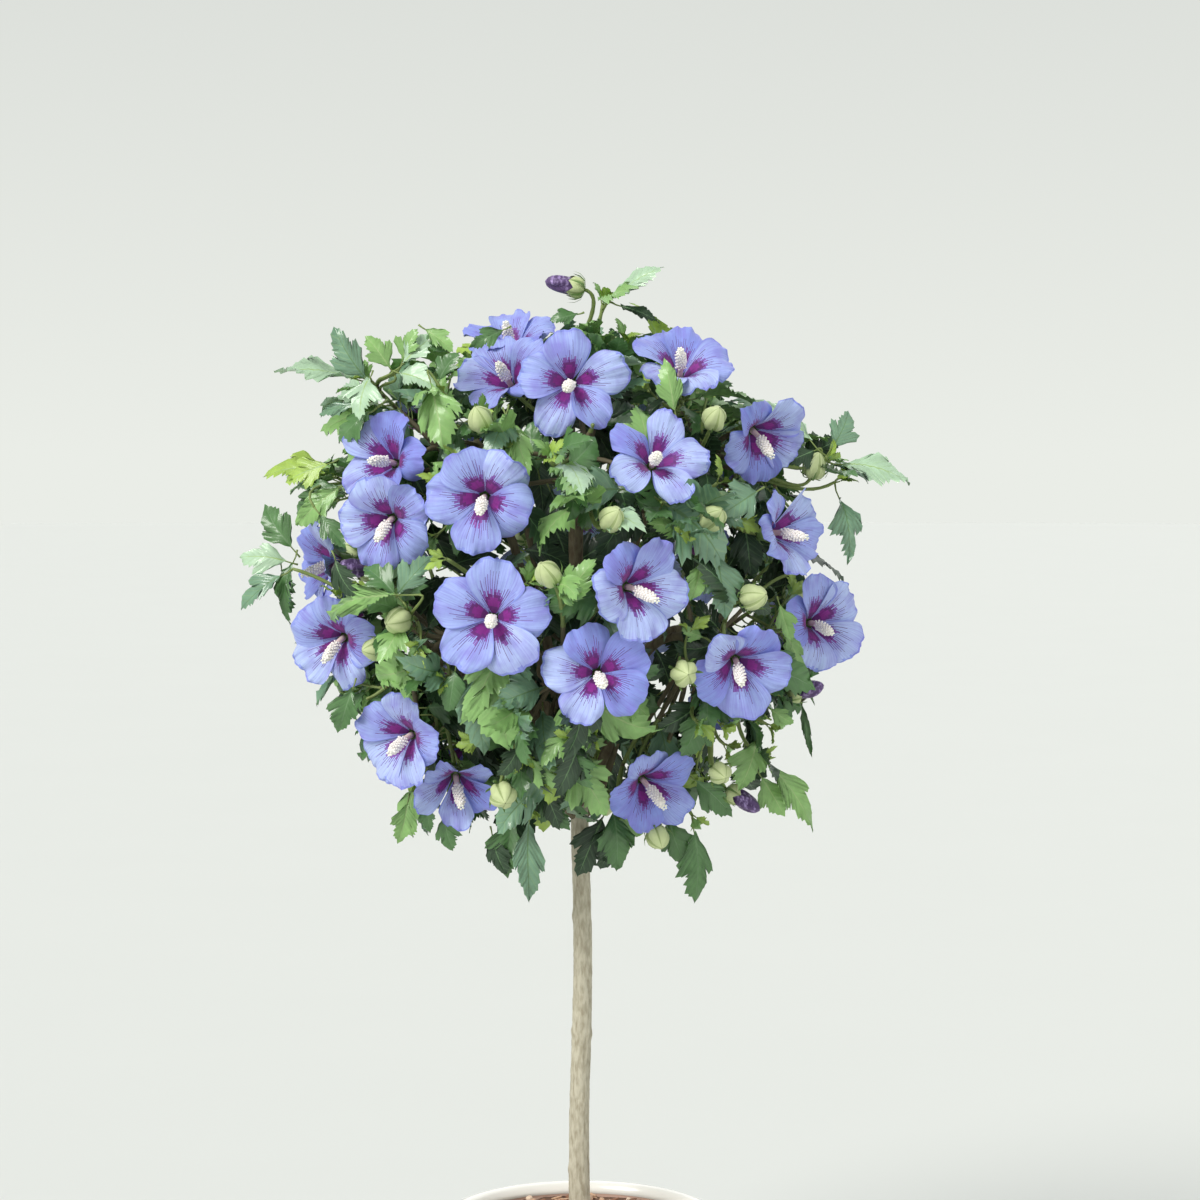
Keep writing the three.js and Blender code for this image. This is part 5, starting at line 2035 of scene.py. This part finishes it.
BRACTS = 7
# A bract's line: how far out and how far up, as shares, and its half width
BRACT_LINE = (
    (0.20, -0.05, 0.9),
    (0.75, 0.10, 1.1),
    (1.05, 0.50, 0.9),
    (1.15, 1.00, 0.15),
)


def frame_rings(foot, heading, rows, columns):
    """Rings of points round a heading: rows holds each ring's radii and heights, by column or one
    number for all the columns."""
    side = across(heading, SKEW)
    spokes = spokes_round(side, np.cross(heading, side), columns)
    rings = []
    for radii, heights in rows:
        rise = np.outer(np.broadcast_to(heights, columns), heading)
        rings.append(foot + spokes * np.reshape(radii, (-1, 1)) + rise)
    return np.array(rings)


def teeth(columns):
    """How near each column of a calyx is to the tip of one of its teeth, from 0 to 1."""
    return np.abs((np.arange(columns) / (columns / PETALS)) % 1 - 0.5) * 2


def bracts(foot, heading, spread, length):
    """Narrow green bracts, which leave the stalk and curve up round a calyx."""
    side = across(heading, SKEW)
    other = np.cross(heading, side)
    points, faces = [], []
    for index in range(BRACTS):
        spoke = spoke_at(side, other, 2 * math.pi * index / BRACTS)
        aside = np.cross(heading, spoke)
        for reach, rise, width in BRACT_LINE:
            middle = foot + spoke * (spread * reach) + heading * (length * rise)
            points += [middle + aside * width, middle - aside * width]
        faces.append(grid_faces(len(BRACT_LINE), 2) + 2 * len(BRACT_LINE) * index)
    return np.array(points), np.concatenate(faces)


CALYX_COLUMNS = 20
# A calyx's rings up to the foot of its teeth: radius and height
CALYX_CUP = ((1.6, -0.4), (4.2, 1.0), (5.4, 4.5), (6.6, 8.5))
CALYX_BRACT_REACH = 8


class ROSE_OT_calyces(bpy.types.Operator):
    """Set a green calyx with its bracts behind each flower"""

    bl_idname = "rose_of_sharon.calyces"
    bl_label = "Calyces"

    def execute(self, context):
        settings = context.scene.rose_blooms
        batch = Batch()
        tooth = teeth(CALYX_COLUMNS)
        middle = (6.9 + 2.6 * tooth, 9.2 + 3.4 * tooth)
        tips = (7.1 + 5.2 * tooth, 9.5 + 5.2 * tooth)
        rows = (*CALYX_CUP, middle, tips)
        faces = grid_faces(len(rows), CALYX_COLUMNS, closed=True)
        for twig in twigs_with("bloom"):
            heading = twig.target.heading
            foot = twig.target.centre - heading * BLOOM_DEPTH
            batch.add(frame_rings(foot, heading, rows, CALYX_COLUMNS), faces, 0)
            batch.add(*bracts(foot, heading, CALYX_BRACT_REACH, CALYX_BRACT_REACH), 0)
        materials = [finish("calyx", settings.calyx, 0.6, 0.15, 4, relief=0.1)]
        foliage_piece(batch, "calyces", materials)
        return {"FINISHED"}


BUD_COLUMNS = 30
BUD_SIZES = (0.82, 1.0)
# How many rings of a bud are left as the calyx where it shows its petals
FURLED_CALYX_ROWS = 5
# The buds' finishes, as numbers of their materials
BUD_SKIN, FURLED_PETALS, BRACT, BUD_SEAM_SHADE = range(4)
# A bud's rings: height as a share of its length, and radius as a share of its radius
CLOSED_BUD = np.array((
    (0.00, 0.14),
    (0.03, 0.55),
    (0.11, 0.83),
    (0.25, 0.98),
    (0.42, 1.00),
    (0.58, 0.93),
    (0.73, 0.77),
    (0.86, 0.54),
    (0.95, 0.30),
    (1.02, 0.05),
))
FURLED_BUD = np.array((
    (0.28, 0.50),
    (0.42, 0.66),
    (0.58, 0.73),
    (0.76, 0.75),
    (0.95, 0.73),
    (1.12, 0.66),
    (1.28, 0.53),
    (1.40, 0.35),
    (1.48, 0.06),
))


def bud_rows(heights, radii, lean, groove, twist):
    """Rings of a bud, fuller on one side, with narrow grooves that wind round it."""
    angles = np.arange(BUD_COLUMNS) * (2 * math.pi / BUD_COLUMNS)
    full = 1 + 0.05 * np.sin(angles + lean) + 0.035 * np.sin(2 * angles + 3 * lean)
    return [
        (
            radius * (full + 0.03 * np.sin(3 * angles + 0.4 * height + 5 * lean))
            * (1 - groove * np.abs(np.cos(PETALS / 2 * angles + twist * height)) ** 5),
            height,
        )
        for height, radius in zip(heights, radii)
    ]


class ROSE_OT_buds(bpy.types.Operator):
    """Set the buds: most are closed and green, and some show their petals furled"""

    bl_idname = "rose_of_sharon.buds"
    bl_label = "Buds"

    def execute(self, context):
        settings = context.scene.rose_blooms
        batch = Batch()
        tooth = teeth(BUD_COLUMNS)
        for twig in twigs_with("bud"):
            foot, heading = twig.curve.point(1) - twig.target.heading, twig.target.heading
            draw = seeded_random(BUD_SEEDS + twig.seed)
            size, lean = mix(*BUD_SIZES, draw()), 6 * draw()
            full_size = (BUD_LENGTH * size, BUD_RADIUS * size)
            heights, radii = (CLOSED_BUD * full_size).T
            rows = bud_rows(heights, radii, lean, groove=0.2, twist=0.01)
            if twig.target.furled:
                kept = heights[:FURLED_CALYX_ROWS]
                rows = bud_rows(kept, 0.9 * radii, lean, groove=0.06, twist=0)
                rows.append((rows[-1][0] * (1 - 0.08 * tooth), rows[-1][1] + 5 * tooth * size))
                petals = bud_rows(*(FURLED_BUD * full_size).T, lean, groove=0.3, twist=0.12)
                points = frame_rings(foot, heading, petals, BUD_COLUMNS)
                faces = grid_faces(len(petals), BUD_COLUMNS, closed=True)
                batch.add(points, faces, FURLED_PETALS)
            points = frame_rings(foot, heading, rows, BUD_COLUMNS)
            faces = grid_faces(len(rows), BUD_COLUMNS, closed=True)
            # The faces along each groove take the seams' darker green: the dark edges of the
            # calyx's parts with painted shade in the groove
            on_shaded_seam = faces[:, 0] % (BUD_COLUMNS // PETALS) == 0
            batch.add(points, faces, np.where(on_shaded_seam, BUD_SEAM_SHADE, BUD_SKIN))
            batch.add(*bracts(foot, heading, BUD_RADIUS * size + 1.5, 12 * size), BRACT)
        furled = finish("furled_petals", settings.furled, 0.55, 0.1, 2.5, 3, 0.3, Sheen_Weight=0.3)
        materials = [
            finish("bud_skin", settings.bud, 0.6, 0.14, 4, relief=0.2),
            two_tone(furled, settings.furled_pale, 0.32, 0.5),
            finish("bract", settings.calyx, 0.6, 0.15, 3, relief=0.05),
            finish("bud_seam_shade", settings.bud_seam_shade, 0.6, 0.14, 4, relief=0.2),
        ]
        foliage_piece(batch, "buds", materials)
        return {"FINISHED"}


# ---- Stage ----

FLOOR_RADIUS = 30
FLOOR_SEGMENTS = 64
SENSOR_WIDTH = 36


def soft_sun(name, towards, spread, strength, colour=(1, 1, 1)):
    """Soft light from one side, as even on the floor as on the plant. spread is in degrees."""
    light = bpy.data.lights.new(name, "SUN")
    light.angle = math.radians(spread)
    light.energy = strength
    light.color = colour
    lamp = add_object(name, light)
    lamp.rotation_euler = (-Vector(towards)).to_track_quat("-Z", "Y").to_euler()
    lamp.location = towards


def surroundings(horizon, zenith):
    """Light from all round, which changes evenly from the horizon's colour to the zenith's."""
    world = bpy.data.worlds.new("surroundings")
    world.use_nodes = True
    nodes, links = world.node_tree.nodes, world.node_tree.links
    place = add_node(nodes, "TexCoord")
    parts = add_node(nodes, "SeparateXYZ")
    links.new(place.outputs["Generated"], parts.inputs["Vector"])
    tint = add_tint(nodes, A=horizon, B=zenith)
    links.new(parts.outputs["Z"], tint.inputs["Factor"])
    links.new(tint.outputs["Result"], nodes["Background"].inputs["Color"])
    return world


class ROSE_OT_stage(bpy.types.Operator):
    """Lay the plain floor, and set the soft light and the camera"""

    bl_idname = "rose_of_sharon.stage"
    bl_label = "Stage"

    def execute(self, context):
        settings = context.scene.rose_stage
        floor_mesh = bpy.data.meshes.new("floor")
        points, faces = lathe([(FLOOR_RADIUS, 0), (AXIS_HOLE, 0)], FLOOR_SEGMENTS)
        floor_mesh.from_pydata(points.reshape(-1, 3).tolist(), [], faces.tolist())
        floor_mesh.materials.append(finish("floor", settings.floor, 0.8, 0.01, 400))
        floor = add_object("floor", floor_mesh)

        context.scene.world = surroundings(settings.horizon, settings.zenith)
        context.scene.view_settings.view_transform = "Standard"
        soft_sun("key_light", (-1.2, -1.3, 1.6), 28, 2.5, (1, 0.985, 0.95))
        soft_sun("fill_light", (1.6, -1.0, 0.7), 70, 0.4)
        soft_sun("back_light", (0.5, 1.5, 1.6), 60, 0.9)

        camera_data = bpy.data.cameras.new("camera")
        camera_data.sensor_width = SENSOR_WIDTH
        camera_data.lens = settings.camera_lens
        camera = add_object("camera", camera_data)
        camera.location = (settings.camera_aside, -settings.camera_distance, settings.camera_height)
        camera.rotation_euler = (math.pi / 2 - settings.camera_pitch, 0, 0)
        context.scene.camera = camera
        return {"FINISHED"}


# ---- Panel and registration ----

OPERATORS = (
    ROSE_OT_stage,
    ROSE_OT_pot,
    ROSE_OT_soil,
    ROSE_OT_wood,
    ROSE_OT_twigs,
    ROSE_OT_leaves,
    ROSE_OT_petals,
    ROSE_OT_columns,
    ROSE_OT_calyces,
    ROSE_OT_buds,
)

SETTINGS = {
    "rose_pot": PotSettings,
    "rose_wood": WoodSettings,
    "rose_leaves": LeafSettings,
    "rose_blooms": BloomSettings,
    "rose_stage": StageSettings,
}


class ROSE_PT_panel(bpy.types.Panel):
    """Lists the pieces of the plant in the order they are made"""

    bl_idname = "ROSE_PT_panel"
    bl_label = "Rose of sharon"
    bl_space_type = "VIEW_3D"
    bl_region_type = "UI"
    bl_category = "Rose of sharon"

    def draw(self, context):
        column = self.layout.column()
        for operator in OPERATORS:
            column.operator(operator.bl_idname)
        for name, group in SETTINGS.items():
            box = self.layout.box()
            box.label(text=group.__doc__)
            settings = getattr(context.scene, name)
            for setting in group.__annotations__:
                box.prop(settings, setting)


def register():
    for group in SETTINGS.values():
        bpy.utils.register_class(group)
    for name, group in SETTINGS.items():
        setattr(bpy.types.Scene, name, PointerProperty(type=group))
    for made in (*OPERATORS, ROSE_PT_panel):
        bpy.utils.register_class(made)


def unregister():
    for made in (ROSE_PT_panel, *reversed(OPERATORS)):
        bpy.utils.unregister_class(made)
    for name, group in SETTINGS.items():
        delattr(bpy.types.Scene, name)
        bpy.utils.unregister_class(group)


def main():
    register()
    bpy.ops.rose_of_sharon.stage()
    bpy.ops.rose_of_sharon.pot()
    bpy.ops.rose_of_sharon.soil()
    bpy.ops.rose_of_sharon.wood()
    bpy.ops.rose_of_sharon.twigs()
    bpy.ops.rose_of_sharon.leaves()
    bpy.ops.rose_of_sharon.petals()
    bpy.ops.rose_of_sharon.columns()
    bpy.ops.rose_of_sharon.calyces()
    bpy.ops.rose_of_sharon.buds()
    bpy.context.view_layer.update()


if __name__ == "__main__":
    main()
